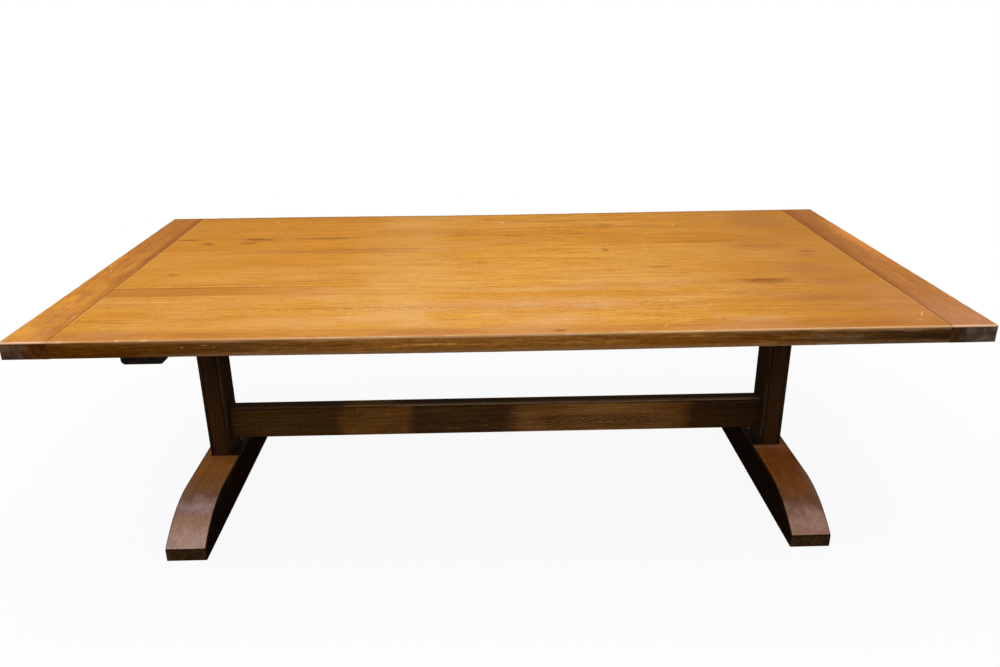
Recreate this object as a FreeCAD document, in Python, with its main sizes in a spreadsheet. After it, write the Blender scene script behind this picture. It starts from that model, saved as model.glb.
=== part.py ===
import FreeCAD, Part
import Sketcher
import os

# A trestle dining table in millimetres. The origin is on the floor under the middle of the top,
# X runs along the table's length, Y from its front long edge to its back one, and Z up.
# The left trestle is at -X. The right one is the same work turned half round about Z.

SIZES = {
    # the top
    "table_height": 762,
    "top_length": 2440,
    "top_width": 1260,
    "top_thickness": 45,
    "end_board_width": 117,
    "middle_joint_place": -20,
    "board_2_width": 75,
    "board_3_width": 205,
    "board_4_width": 185,
    "board_5_width": 150,
    # the joints inside the top
    "loose_tongue_width": 36,
    "loose_tongue_thickness": 12,
    "end_tongue_length": 40,
    "end_tongue_thickness": 15,
    "end_tongue_setback": 45,
    "end_peg_diameter": 10,
    "end_peg_cover": 12,
    "end_peg_slot_travel": 6,
    # the trestles
    "trestle_overhang": 302,
    "trestle_shift": -11,
    "foot_length": 928,
    "foot_width": 118,
    "foot_height": 118,
    "foot_flat_length": 460,
    "toe_height": 39,
    "post_width": 70,
    "post_depth": 110,
    "bearer_width": 112,
    "bearer_thickness": 65,
    "bearer_long_arm": 521,
    "bearer_short_arm": 465,
    "stretcher_thickness": 38,
    "stretcher_depth": 113,
    "stretcher_floor_gap": 166,
    "bead_diameter": 10,
    "quirk_width": 2.5,
    # the joints of the trestles
    "tenon_thickness": 24,
    "tenon_end_shoulder": 15,
    "foot_tenon_length": 70,
    "bearer_tenon_length": 40,
    "trestle_peg_diameter": 12,
    "trestle_peg_spacing": 36,
    "trestle_peg_bite": 20,
    "stretcher_tenon_length": 25,
    "stretcher_cheek_shoulder": 7,
    "stretcher_edge_shoulder": 15,
    # the bolts that pull the stretcher into the posts
    "bolt_diameter": 10,
    "bolt_head_diameter": 18,
    "bolt_head_thickness": 6.5,
    "bolt_recess_diameter": 30,
    "bolt_recess_depth": 18,
    "bolt_washer_diameter": 26,
    "bolt_washer_thickness": 2,
    "barrel_nut_diameter": 16,
    "barrel_nut_length": 28,
    "barrel_nut_distance": 60,
    "bolt_overrun": 12,
    # the screws that hold the top down on the bearers
    "outer_screw_distance": 70,
    "screw_diameter": 6,
    "screw_head_diameter": 12,
    "screw_head_thickness": 4,
    "screw_slot_width": 1.4,
    "screw_slot_depth": 1.6,
    "screw_bite": 26,
    "screw_tip_length": 7,
    "screw_recess_diameter": 22,
    "screw_recess_depth": 28,
    "screw_washer_diameter": 18,
    "screw_washer_thickness": 1.5,
    # clearances
    "joint_clearance": 0.2,
    "hole_clearance": 0.1,
    "bolt_hole_clearance": 0.5,
}

LABELS = ("left", "right")

document = FreeCAD.newDocument("TrestleDiningTable")
sheet = document.addObject("Spreadsheet::Sheet", "Sizes")
for row, (alias, number) in enumerate(SIZES.items(), start=1):
    sheet.set(f"A{row}", alias.replace("_", " "))
    sheet.set(f"B{row}", str(number))
    sheet.setAlias(f"B{row}", alias)
document.recompute()

sub_parts = []


def size(alias):
    """The expression that reads one size from the sheet."""
    return f"Sizes.{alias}"


def value(expression):
    """The number that an expression gives now."""
    return float(sheet.evalExpression(expression))


def half(expression):
    return f"(({expression}) / 2)"


def minus(expression):
    return f"(-({expression}))"


def about(centre, width):
    """The low and high ends of a width laid evenly about a centre."""
    return f"{centre} - {half(width)}", f"{centre} + {half(width)}"


# Levels and places that several pieces share, worked out from the sheet.
CLEARANCE = size("joint_clearance")
TOP_FACE = size("table_height")
UNDERSIDE = f"({TOP_FACE} - {size('top_thickness')})"
TOP_MIDDLE = f"({TOP_FACE} - {half(size('top_thickness'))})"
FIELD_HALF = f"({half(size('top_length'))} - {size('end_board_width')})"
BEARER_BASE = f"({UNDERSIDE} - {size('bearer_thickness')})"
FOOT_TOP = size("foot_height")
POST_HALF = half(size("post_width"))
TENON_SPAN = f"({size('post_depth')} - 2 * {size('tenon_end_shoulder')})"
STRETCHER_BASE = size("stretcher_floor_gap")
STRETCHER_MIDDLE = f"({STRETCHER_BASE} + {half(size('stretcher_depth'))})"
BOLT_SEAT = f"({size('bolt_recess_depth')} - {POST_HALF})"

# From the frame's middle to each trestle's middle.
TRESTLE_HALF = f"({half(size('top_length'))} - {size('trestle_overhang')})"

# The joint lines between the six long boards, from the front edge to the back one.
JOINT_LINES = [
    minus(half(size("top_width"))),
    f"({size('middle_joint_place')} - {size('board_3_width')} - {size('board_2_width')})",
    f"({size('middle_joint_place')} - {size('board_3_width')})",
    size("middle_joint_place"),
    f"({size('middle_joint_place')} + {size('board_4_width')})",
    f"({size('middle_joint_place')} + {size('board_4_width')} + {size('board_5_width')})",
    half(size("top_width")),
]
BOARD_MIDDLES = [half(f"{front} + {back}") for front, back in zip(JOINT_LINES, JOINT_LINES[1:])]

# The screws up through the bearers: on the middles of the inner boards, and in the two wide
# outer boards near the joint, where the bearers still reach.
SCREW_PLACES = (
    [f"({JOINT_LINES[1]} - {size('outer_screw_distance')})"]
    + BOARD_MIDDLES[1:-1]
    + [f"({JOINT_LINES[-2]} + {size('outer_screw_distance')})"]
)


def trestle_place(facing):
    """The X of a trestle's middle: facing is 1 on the left and -1 on the right."""
    return f"{size('trestle_shift')} - ({facing}) * {TRESTLE_HALF}"


# ---- helpers that make bodies and their features ----


def new_body(label, place_x="0", facing=1):
    """A body that is modelled about its own middle and may stand turned half round."""
    body = document.addObject("PartDesign::Body", label)
    body.Label = label
    half_turns = 0 if facing > 0 else 180
    turn = FreeCAD.Rotation(FreeCAD.Vector(0, 0, 1), half_turns)
    body.Placement = FreeCAD.Placement(FreeCAD.Vector(0, 0, 0), turn)
    body.setExpression(".Placement.Base.x", place_x)
    sub_parts.append(body)
    return body


def shape_box(item, along_x, along_y, along_z):
    """Binds a box to its low and high ends along X, Y and Z."""
    ends = (("Length", "x", along_x), ("Width", "y", along_y), ("Height", "z", along_z))
    for side, axis, (low, high) in ends:
        item.setExpression(side, f"({high}) - ({low})")
        item.setExpression(f".Placement.Base.{axis}", low)
    return item


AXIS_TURNS = {
    "x": FreeCAD.Rotation(FreeCAD.Vector(0, 1, 0), 90),
    "y": FreeCAD.Rotation(FreeCAD.Vector(1, 0, 0), -90),
    "z": FreeCAD.Rotation(),
}


def shape_round(item, axis, centre, span):
    """Binds a cylinder, cone or prism to its axis, the two places across it and its span."""
    item.Placement = FreeCAD.Placement(FreeCAD.Vector(0, 0, 0), AXIS_TURNS[axis])
    low, high = span
    item.setExpression("Height", f"({high}) - ({low})")
    places = list(centre)
    places.insert("xyz".index(axis), low)
    for name, place in zip("xyz", places):
        item.setExpression(f".Placement.Base.{name}", place)
    return item


def add_box(body, name, along_x, along_y, along_z):
    box = body.newObject("PartDesign::AdditiveBox", name)
    return shape_box(box, along_x, along_y, along_z)


def cut_box(body, name, along_x, along_y, along_z):
    box = body.newObject("PartDesign::SubtractiveBox", name)
    return shape_box(box, along_x, along_y, along_z)


def add_cylinder(body, name, radius, axis, centre, span):
    rod = body.newObject("PartDesign::AdditiveCylinder", name)
    rod.setExpression("Radius", radius)
    return shape_round(rod, axis, centre, span)


def cut_cylinder(body, name, radius, axis, centre, span):
    hole = body.newObject("PartDesign::SubtractiveCylinder", name)
    hole.setExpression("Radius", radius)
    return shape_round(hole, axis, centre, span)


def origin_plane(body, role):
    return next(item for item in body.Origin.OriginFeatures if item.Role == role)


def outline_sketch(body, name, role, corners, arc_centres, offset="0"):
    """A closed outline with its corners in counter-clockwise order.

    arc_centres maps a corner's number to the centre of the arc that runs from that corner to
    the next, bulging outwards. The other sides are straight.
    """
    sketch = body.newObject("Sketcher::SketchObject", name)
    sketch.AttachmentSupport = [(origin_plane(body, role), "")]
    sketch.MapMode = "FlatFace"
    sketch.setExpression(".AttachmentOffset.Base.z", offset)
    points = [FreeCAD.Vector(value(across), value(up), 0) for across, up in corners]
    for number, start in enumerate(points):
        end = points[(number + 1) % len(points)]
        if number in arc_centres:
            centre_across, centre_up = arc_centres[number]
            centre = FreeCAD.Vector(value(centre_across), value(centre_up), 0)
            circle = Part.Circle(centre, FreeCAD.Vector(0, 0, 1), (start - centre).Length)
            sketch.addGeometry(Part.ArcOfCircle(circle, circle.parameter(start), circle.parameter(end)))
        else:
            sketch.addGeometry(Part.LineSegment(start, end))

    def pin(kind, geometry, vertex, expression):
        index = sketch.addConstraint(
            Sketcher.Constraint(kind, -1, 1, geometry, vertex, value(expression))
        )
        sketch.setExpression(f"Constraints[{index}]", expression)

    for number, (across, up) in enumerate(corners):
        following = (number + 1) % len(corners)
        sketch.addConstraint(Sketcher.Constraint("Coincident", number, 2, following, 1))
        pin("DistanceX", number, 1, across)
        pin("DistanceY", number, 1, up)
        if number in arc_centres:
            chord = points[following] - points[number]
            if abs(chord.x) > abs(chord.y):
                pin("DistanceY", number, 3, arc_centres[number][1])
            else:
                pin("DistanceX", number, 3, arc_centres[number][0])
    return sketch


def pad(body, sketch, name, length, symmetric):
    feature = body.newObject("PartDesign::Pad", name)
    feature.Profile = sketch
    feature.SideType = "Symmetric" if symmetric else "One side"
    feature.setExpression("Length", length)
    return feature


def group(label, items):
    """Separate solids of one kind that share a node."""
    compound = document.addObject("Part::Compound", label)
    compound.Label = label
    compound.Links = items
    sub_parts.append(compound)
    return compound


# ---- the top ----


def make_top_board(number):
    """A long board: grooved edges for the loose tongues and a tongue on each end."""
    body = new_body(f"top_board_{number}")
    front, back = JOINT_LINES[number - 1], JOINT_LINES[number]
    field = (minus(FIELD_HALF), FIELD_HALF)
    add_box(body, f"Board{number}", field, (front, back), (UNDERSIDE, TOP_FACE))

    tongue_front, tongue_back = front, back
    if number == 1:
        tongue_front = f"{front} + {size('end_tongue_setback')}"
    if number == len(BOARD_MIDDLES):
        tongue_back = f"{back} - {size('end_tongue_setback')}"
    reach = f"({FIELD_HALF} + {size('end_tongue_length')})"
    tongue_ends = ((minus(reach), minus(FIELD_HALF)), (FIELD_HALF, reach))
    for side, tongue_x in zip(LABELS, tongue_ends):
        add_box(body, f"Board{number}Tongue_{side}", tongue_x, (tongue_front, tongue_back),
                about(TOP_MIDDLE, size("end_tongue_thickness")))
        slot_width = f"{size('end_peg_diameter')} + 2 * {size('hole_clearance')}"
        slot_length = f"{slot_width} + {size('end_peg_slot_travel')}"
        slot_middle = half(f"{tongue_x[0]} + {tongue_x[1]}")
        cut_box(body, f"Board{number}PegSlot_{side}", about(slot_middle, slot_width),
                about(BOARD_MIDDLES[number - 1], slot_length), (UNDERSIDE, TOP_FACE))

    groove_depth = f"({half(size('loose_tongue_width'))} + {CLEARANCE})"
    groove_z = about(TOP_MIDDLE, f"({size('loose_tongue_thickness')} + 2 * {CLEARANCE})")
    if number > 1:
        cut_box(body, f"Board{number}FrontGroove", field, (front, f"{front} + {groove_depth}"), groove_z)
    if number < len(BOARD_MIDDLES):
        cut_box(body, f"Board{number}BackGroove", field, (f"{back} - {groove_depth}", back), groove_z)

    for side, facing in zip(LABELS, (1, -1)):
        cut_cylinder(body, f"Board{number}Pilot_{side}",
                     f"{half(size('screw_diameter'))} + {size('hole_clearance')}", "z",
                     (trestle_place(facing), SCREW_PLACES[number - 1]),
                     (UNDERSIDE, f"{UNDERSIDE} + {size('screw_bite')} + {CLEARANCE}"))
    return body


def make_loose_tongue(number):
    """The strip glued into the groove between one board and the next."""
    body = new_body(f"loose_tongue_{number}")
    add_box(body, f"Strip{number}", (minus(FIELD_HALF), FIELD_HALF),
            about(JOINT_LINES[number], size("loose_tongue_width")),
            about(TOP_MIDDLE, size("loose_tongue_thickness")))
    return body


def make_end_board(side, facing):
    """A cross board on one end of the top, with a groove that stops short of both edges."""
    body = new_body(f"end_board_{side}", facing=facing)
    outer_end = minus(half(size("top_length")))
    inner_end = minus(FIELD_HALF)
    full_width = about("0", size("top_width"))
    add_box(body, f"EndBoard_{side}", (outer_end, inner_end), full_width, (UNDERSIDE, TOP_FACE))
    groove_width = f"({size('top_width')} - 2 * {size('end_tongue_setback')} + 2 * {CLEARANCE})"
    groove_floor = f"{inner_end} - {size('end_tongue_length')} - {CLEARANCE}"
    cut_box(body, f"EndGroove_{side}", (groove_floor, inner_end), about("0", groove_width),
            about(TOP_MIDDLE, f"({size('end_tongue_thickness')} + 2 * {CLEARANCE})"))
    for number, middle in enumerate(BOARD_MIDDLES, start=1):
        cut_cylinder(body, f"EndPegHole_{side}_{number}",
                     f"{half(size('end_peg_diameter'))} + {size('hole_clearance')}", "z",
                     (f"{inner_end} - {half(size('end_tongue_length'))}", f"({facing}) * ({middle})"),
                     (UNDERSIDE, f"{TOP_FACE} - {size('end_peg_cover')}"))
    return body


def make_end_board_pegs(side, facing):
    """One peg up through the end board and each long board's tongue, hidden from above."""
    pegs = []
    place_x = f"({facing}) * ({minus(FIELD_HALF)} - {half(size('end_tongue_length'))})"
    for number, middle in enumerate(BOARD_MIDDLES, start=1):
        peg = document.addObject("Part::Cylinder", f"EndPeg_{side}_{number}")
        peg.setExpression("Radius", half(size("end_peg_diameter")))
        top = f"{TOP_FACE} - {size('end_peg_cover')} - {CLEARANCE}"
        pegs.append(shape_round(peg, "z", (place_x, middle), (UNDERSIDE, top)))
    return group(f"end_board_pegs_{side}", pegs)


# ---- the trestles ----


def bead_corner(across_sign, up_sign, half_across, half_up, quirk_on_up_face):
    """The four outline points of a beaded corner, and its arc's centre, about the middle.

    The bead rounds the corner, and its quirk is cut into the face across the up direction,
    or into the face across the other one.
    """
    radius = half(size("bead_diameter"))
    far = f"({size('bead_diameter')} + {size('quirk_width')})"

    def point(from_across, from_up):
        return (f"({across_sign}) * ({half_across} - {from_across})",
                f"({up_sign}) * ({half_up} - {from_up})")

    insets = [("0", radius), (size("bead_diameter"), radius), (far, radius), (far, "0")]
    if not quirk_on_up_face:
        insets = [(up, across) for across, up in insets]
    points = [point(*inset) for inset in insets]
    return points, point(radius, radius)


def make_foot(side, facing):
    """A sledge foot: flat sole, level seat for the post and a round fall to each toe."""
    body = new_body(f"foot_{side}", trestle_place(facing), facing)
    toe = half(size("foot_length"))
    flat = half(size("foot_flat_length"))
    run = f"({toe} - {flat})"
    drop = f"({FOOT_TOP} - {size('toe_height')})"
    arc_radius = f"(({run} * {run} + {drop} * {drop}) / (2 * {drop}))"
    arc_level = f"({FOOT_TOP} - {arc_radius})"
    corners = [
        (minus(toe), "0"), (toe, "0"), (toe, size("toe_height")),
        (flat, FOOT_TOP), (minus(flat), FOOT_TOP), (minus(toe), size("toe_height")),
    ]
    arc_centres = {2: (flat, arc_level), 4: (minus(flat), arc_level)}
    sketch = outline_sketch(body, f"FootOutline_{side}", "YZ_Plane", corners, arc_centres)
    pad(body, sketch, f"FootPad_{side}", size("foot_width"), symmetric=True)
    mortise_floor = f"{FOOT_TOP} - {size('foot_tenon_length')} - {CLEARANCE}"
    cut_box(body, f"FootMortise_{side}",
            about("0", f"({size('tenon_thickness')} + 2 * {CLEARANCE})"),
            about("0", f"({TENON_SPAN} + 2 * {CLEARANCE})"), (mortise_floor, FOOT_TOP))
    cut_peg_holes(body, f"Foot_{side}", size("foot_width"), foot_peg_level())
    return body


def foot_peg_level():
    return f"({FOOT_TOP} - {half(size('foot_tenon_length'))})"


def bearer_peg_level():
    return f"({BEARER_BASE} + {half(size('bearer_tenon_length'))})"


def peg_places():
    return [f"({sign}) * {half(size('trestle_peg_spacing'))}" for sign in (-1, 1)]


def peg_span(member_width):
    """A peg runs from the outer face through the tenon and stops inside the far cheek."""
    far_end = f"{half(size('tenon_thickness'))} + {size('trestle_peg_bite')}"
    return minus(half(member_width)), far_end


def cut_peg_holes(body, name, member_width, level):
    low, high = peg_span(member_width)
    for number, place in enumerate(peg_places(), start=1):
        cut_cylinder(body, f"{name}PegHole{number}",
                     f"{half(size('trestle_peg_diameter'))} + {size('hole_clearance')}", "x",
                     (place, level), (low, f"{high} + {CLEARANCE}"))


def make_pegs(label, member_width, level, facing):
    """The pair of pegs through one mortise and tenon of a trestle."""
    low, high = peg_span(member_width)
    ends = [f"{trestle_place(facing)} + ({facing}) * ({end})" for end in (low, high)]
    if facing < 0:
        ends.reverse()
    pegs = []
    for number, place in enumerate(peg_places(), start=1):
        peg = document.addObject("Part::Cylinder", f"{label}_{number}")
        peg.setExpression("Radius", half(size("trestle_peg_diameter")))
        pegs.append(shape_round(peg, "x", (place, level), ends))
    return group(label, pegs)


def make_post(side, facing):
    """A post with a bead down each corner, tenons at both ends and a mortise for the stretcher."""
    body = new_body(f"post_{side}", trestle_place(facing), facing)
    half_depth = half(size("post_depth"))
    corners = []
    arc_centres = {}
    for across_sign, up_sign in ((-1, -1), (1, -1), (1, 1), (-1, 1)):
        points, centre = bead_corner(across_sign, up_sign, POST_HALF, half_depth, True)
        starts_at_bead = across_sign == up_sign
        if not starts_at_bead:
            points.reverse()
        arc_centres[len(corners) + (0 if starts_at_bead else 2)] = centre
        corners += points
    sketch = outline_sketch(body, f"PostSection_{side}", "XY_Plane", corners, arc_centres, FOOT_TOP)
    pad(body, sketch, f"PostPad_{side}", f"{BEARER_BASE} - {FOOT_TOP}", symmetric=False)
    tenon_x = about("0", size("tenon_thickness"))
    tenon_y = about("0", TENON_SPAN)
    add_box(body, f"FootTenon_{side}", tenon_x, tenon_y,
            (f"{FOOT_TOP} - {size('foot_tenon_length')}", FOOT_TOP))
    add_box(body, f"BearerTenon_{side}", tenon_x, tenon_y,
            (BEARER_BASE, f"{BEARER_BASE} + {size('bearer_tenon_length')}"))
    for name, level in (("Foot", foot_peg_level()), ("Bearer", bearer_peg_level())):
        for number, place in enumerate(peg_places(), start=1):
            cut_cylinder(body, f"{name}TenonHole{number}_{side}",
                         f"{half(size('trestle_peg_diameter'))} + {size('hole_clearance')}", "x",
                         (place, level), tenon_x)
    mortise_y = about("0", f"({stretcher_tenon_thickness()} + 2 * {CLEARANCE})")
    mortise_z = about(STRETCHER_MIDDLE, f"({stretcher_tenon_depth()} + 2 * {CLEARANCE})")
    mortise_floor = f"{POST_HALF} - {size('stretcher_tenon_length')} - {CLEARANCE}"
    cut_box(body, f"StretcherMortise_{side}", (mortise_floor, POST_HALF), mortise_y, mortise_z)
    cut_cylinder(body, f"BoltRecess_{side}", half(size("bolt_recess_diameter")), "x",
                 ("0", STRETCHER_MIDDLE), (minus(POST_HALF), BOLT_SEAT))
    cut_cylinder(body, f"BoltHole_{side}",
                 f"{half(size('bolt_diameter'))} + {size('bolt_hole_clearance')}", "x",
                 ("0", STRETCHER_MIDDLE), (BOLT_SEAT, mortise_floor))
    return body


def stretcher_tenon_thickness():
    return f"({size('stretcher_thickness')} - 2 * {size('stretcher_cheek_shoulder')})"


def stretcher_tenon_depth():
    return f"({size('stretcher_depth')} - 2 * {size('stretcher_edge_shoulder')})"


def make_bearer(side, facing):
    """The cross bar that carries the top: its mortise is nearer one end, and screws pass up it."""
    body = new_body(f"bearer_{side}", trestle_place(facing), facing)
    add_box(body, f"Bearer_{side}", about("0", size("bearer_width")),
            (minus(size("bearer_long_arm")), size("bearer_short_arm")), (BEARER_BASE, UNDERSIDE))
    mortise_roof = f"{BEARER_BASE} + {size('bearer_tenon_length')} + {CLEARANCE}"
    cut_box(body, f"BearerMortise_{side}",
            about("0", f"({size('tenon_thickness')} + 2 * {CLEARANCE})"),
            about("0", f"({TENON_SPAN} + 2 * {CLEARANCE})"), (BEARER_BASE, mortise_roof))
    cut_peg_holes(body, f"Bearer_{side}", size("bearer_width"), bearer_peg_level())
    recess_roof = f"{BEARER_BASE} + {size('screw_recess_depth')}"
    for number, place in enumerate(SCREW_PLACES, start=1):
        centre = ("0", f"({facing}) * ({place})")
        cut_cylinder(body, f"ScrewRecess_{side}_{number}", half(size("screw_recess_diameter")), "z",
                     centre, (BEARER_BASE, recess_roof))
        cut_cylinder(body, f"ScrewHole_{side}_{number}",
                     f"{half(size('screw_diameter'))} + {size('bolt_hole_clearance')}", "z",
                     centre, (recess_roof, UNDERSIDE))
    return body


def make_stretcher():
    """The low rail between the posts, with a bead along both upper edges and a tenon at each end."""
    body = new_body("stretcher", size("trestle_shift"))
    half_thickness = half(size("stretcher_thickness"))
    half_depth = half(size("stretcher_depth"))
    back_bead, back_centre = bead_corner(1, 1, half_thickness, half_depth, False)
    front_bead, front_centre = bead_corner(-1, 1, half_thickness, half_depth, False)
    outline = [(minus(half_thickness), minus(half_depth)), (half_thickness, minus(half_depth))]
    outline += back_bead[::-1] + front_bead
    corners = [(across, f"{up} + {STRETCHER_MIDDLE}") for across, up in outline]
    arc_centres = {
        number: (centre[0], f"{centre[1]} + {STRETCHER_MIDDLE}")
        for number, centre in ((4, back_centre), (6, front_centre))
    }
    sketch = outline_sketch(body, "StretcherSection", "YZ_Plane", corners, arc_centres)
    shoulder = f"({TRESTLE_HALF} - {POST_HALF})"
    pad(body, sketch, "StretcherPad", f"2 * {shoulder}", symmetric=True)
    tenon_reach = f"({shoulder} + {size('stretcher_tenon_length')})"
    hole_reach = f"({shoulder} - {size('barrel_nut_distance')} - {size('bolt_overrun')} - {CLEARANCE})"
    nut_place = f"({shoulder} - {size('barrel_nut_distance')})"
    nut_floor = f"{half_thickness} - {size('barrel_nut_length')} - {half(size('bolt_hole_clearance'))}"
    for side, sign in zip(LABELS, (-1, 1)):
        tenon_x = (shoulder, tenon_reach) if sign > 0 else (minus(tenon_reach), minus(shoulder))
        hole_x = (hole_reach, tenon_reach) if sign > 0 else (minus(tenon_reach), minus(hole_reach))
        add_box(body, f"StretcherTenon_{side}", tenon_x, about("0", stretcher_tenon_thickness()),
                about(STRETCHER_MIDDLE, stretcher_tenon_depth()))
        cut_cylinder(body, f"StretcherBoltHole_{side}",
                     f"{half(size('bolt_diameter'))} + {size('bolt_hole_clearance')}", "x",
                     ("0", STRETCHER_MIDDLE), hole_x)
        cut_cylinder(body, f"BarrelNutHole_{side}",
                     f"{half(size('barrel_nut_diameter'))} + {size('hole_clearance')}", "y",
                     (f"({sign}) * {nut_place}", STRETCHER_MIDDLE), (nut_floor, half_thickness))
    return body


# ---- the metalwork ----


def make_stretcher_bolt(side, facing):
    """A hexagon bolt from the recess in the post's outer face into the barrel nut."""
    body = new_body(f"stretcher_bolt_{side}", trestle_place(facing), facing)
    head_seat = f"({BOLT_SEAT} - {size('bolt_washer_thickness')})"
    head = body.newObject("PartDesign::AdditivePrism", f"BoltHead_{side}")
    head.Polygon = 6
    head.setExpression("Circumradius", half(size("bolt_head_diameter")))
    shape_round(head, "x", ("0", STRETCHER_MIDDLE),
                (f"{head_seat} - {size('bolt_head_thickness')}", head_seat))
    bolt_end = f"{POST_HALF} + {size('barrel_nut_distance')} + {size('bolt_overrun')}"
    add_cylinder(body, f"BoltShank_{side}", half(size("bolt_diameter")), "x",
                 ("0", STRETCHER_MIDDLE), (head_seat, bolt_end))
    return body


def make_stretcher_washer(side, facing):
    body = new_body(f"stretcher_washer_{side}", trestle_place(facing), facing)
    span = (f"{BOLT_SEAT} - {size('bolt_washer_thickness')}", BOLT_SEAT)
    centre = ("0", STRETCHER_MIDDLE)
    add_cylinder(body, f"BoltWasher_{side}", half(size("bolt_washer_diameter")), "x", centre, span)
    cut_cylinder(body, f"BoltWasherHole_{side}",
                 f"{half(size('bolt_diameter'))} + {size('hole_clearance')}", "x", centre, span)
    return body


def make_barrel_nut(side, facing):
    """A round nut that lies across the stretcher, put in from its back face."""
    body = new_body(f"stretcher_barrel_nut_{side}", trestle_place(facing), facing)
    place_x = f"{POST_HALF} + {size('barrel_nut_distance')}"
    face = half(size("stretcher_thickness"))
    # The back face is at +Y on both sides, so on the turned right side it is at local -Y.
    inner = f"({facing}) * ({face} - {size('barrel_nut_length')})"
    outer = f"({facing}) * ({face})"
    span = (inner, outer) if facing > 0 else (outer, inner)
    add_cylinder(body, f"BarrelNut_{side}", half(size("barrel_nut_diameter")), "y",
                 (place_x, STRETCHER_MIDDLE), span)
    nut_radius = half(size("barrel_nut_diameter"))
    cut_cylinder(body, f"BarrelNutThread_{side}",
                 f"{half(size('bolt_diameter'))} + {size('hole_clearance')}", "x",
                 ("0", STRETCHER_MIDDLE), (f"{place_x} - {nut_radius}", f"{place_x} + {nut_radius}"))
    return body


def make_screws(side, facing):
    """Slotted screws up through the bearer, one into each long board."""
    seat = f"({BEARER_BASE} + {size('screw_recess_depth')} - {size('screw_washer_thickness')})"
    head_base = f"({seat} - {size('screw_head_thickness')})"
    end = f"({UNDERSIDE} + {size('screw_bite')})"
    tip_base = f"({end} - {size('screw_tip_length')})"
    place_x = trestle_place(facing)
    screws = []
    for number, place in enumerate(SCREW_PLACES, start=1):
        name = f"{side}_{number}"
        head = document.addObject("Part::Cylinder", f"ScrewHead_{name}")
        head.setExpression("Radius", half(size("screw_head_diameter")))
        shape_round(head, "z", (place_x, place), (head_base, seat))
        shank = document.addObject("Part::Cylinder", f"ScrewShank_{name}")
        shank.setExpression("Radius", half(size("screw_diameter")))
        shape_round(shank, "z", (place_x, place), (seat, tip_base))
        tip = document.addObject("Part::Cone", f"ScrewTip_{name}")
        tip.setExpression("Radius1", half(size("screw_diameter")))
        tip.Radius2 = 0
        shape_round(tip, "z", (place_x, place), (tip_base, end))
        blank = document.addObject("Part::MultiFuse", f"ScrewBlank_{name}")
        blank.Shapes = [head, shank, tip]
        slot = document.addObject("Part::Box", f"ScrewSlot_{name}")
        shape_box(slot, about(place_x, size("screw_head_diameter")),
                  about(place, size("screw_slot_width")),
                  (head_base, f"{head_base} + {size('screw_slot_depth')}"))
        screw = document.addObject("Part::Cut", f"Screw_{name}")
        screw.Base = blank
        screw.Tool = slot
        screws.append(screw)
    return group(f"bearer_screws_{side}", screws)


def make_screw_washers(side, facing):
    top = f"({BEARER_BASE} + {size('screw_recess_depth')})"
    span = (f"{top} - {size('screw_washer_thickness')}", top)
    washers = []
    for number, place in enumerate(SCREW_PLACES, start=1):
        centre = (trestle_place(facing), place)
        disc = document.addObject("Part::Cylinder", f"WasherDisc_{side}_{number}")
        disc.setExpression("Radius", half(size("screw_washer_diameter")))
        hole = document.addObject("Part::Cylinder", f"WasherHole_{side}_{number}")
        hole.setExpression("Radius", f"{half(size('screw_diameter'))} + {size('hole_clearance')}")
        washer = document.addObject("Part::Cut", f"Washer_{side}_{number}")
        washer.Base = shape_round(disc, "z", centre, span)
        washer.Tool = shape_round(hole, "z", centre, span)
        washers.append(washer)
    return group(f"bearer_washers_{side}", washers)


# ---- the whole table ----

for board_number in range(1, len(BOARD_MIDDLES) + 1):
    make_top_board(board_number)
for joint_number in range(1, len(BOARD_MIDDLES)):
    make_loose_tongue(joint_number)
make_stretcher()
for side_name, side_facing in zip(LABELS, (1, -1)):
    make_end_board(side_name, side_facing)
    make_end_board_pegs(side_name, side_facing)
    make_foot(side_name, side_facing)
    make_post(side_name, side_facing)
    make_bearer(side_name, side_facing)
    make_pegs(f"foot_pegs_{side_name}", size("foot_width"), foot_peg_level(), side_facing)
    make_pegs(f"bearer_pegs_{side_name}", size("bearer_width"), bearer_peg_level(), side_facing)
    make_stretcher_bolt(side_name, side_facing)
    make_stretcher_washer(side_name, side_facing)
    make_barrel_nut(side_name, side_facing)
    make_screws(side_name, side_facing)
    make_screw_washers(side_name, side_facing)

document.recompute()

for item in document.Objects:
    if "Invalid" in item.State or "Error" in item.State:
        raise RuntimeError(f"{item.Label} did not compute: {item.State}")
for part in sub_parts:
    if part.Shape.isNull() or not part.Shape.isValid():
        raise RuntimeError(f"{part.Label} has no valid shape")

# Every cut has to take wood away: a body whose cuts all miss would keep its blank's volume.
for item in document.Objects:
    if item.TypeId.startswith("PartDesign::Subtractive"):
        removed = item.BaseFeature.Shape.Volume - item.Shape.Volume
        if removed <= 0:
            raise RuntimeError(f"{item.Label} cuts nothing")

os.makedirs("parts", exist_ok=True)
for part in sub_parts:
    part.Shape.exportStep(f"parts/{part.Label}.step")
    box = part.Shape.BoundBox
    print(f"{part.Label}: {len(part.Shape.Solids)} solids,"
          f" {box.XLength:.1f} x {box.YLength:.1f} x {box.ZLength:.1f} mm")
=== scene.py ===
# %% [markdown]
# # A trestle dining table in oak
#
# The table has a thick top of six long boards between two end boards, two posts
# on curved sledge feet, and a low stretcher. Its solids come from a finished
# frame, in metres: X runs along the table, Y from its front edge to its back
# edge, and Z up from the floor. A dressed piece of wood takes the place of each
# plain solid, so the sizes stay exact while eased edges, grain and wear are made
# here.

# %% Load the fixed frame
import math

import bmesh
import bpy
from mathutils import Color, Matrix, Vector, noise


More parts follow.
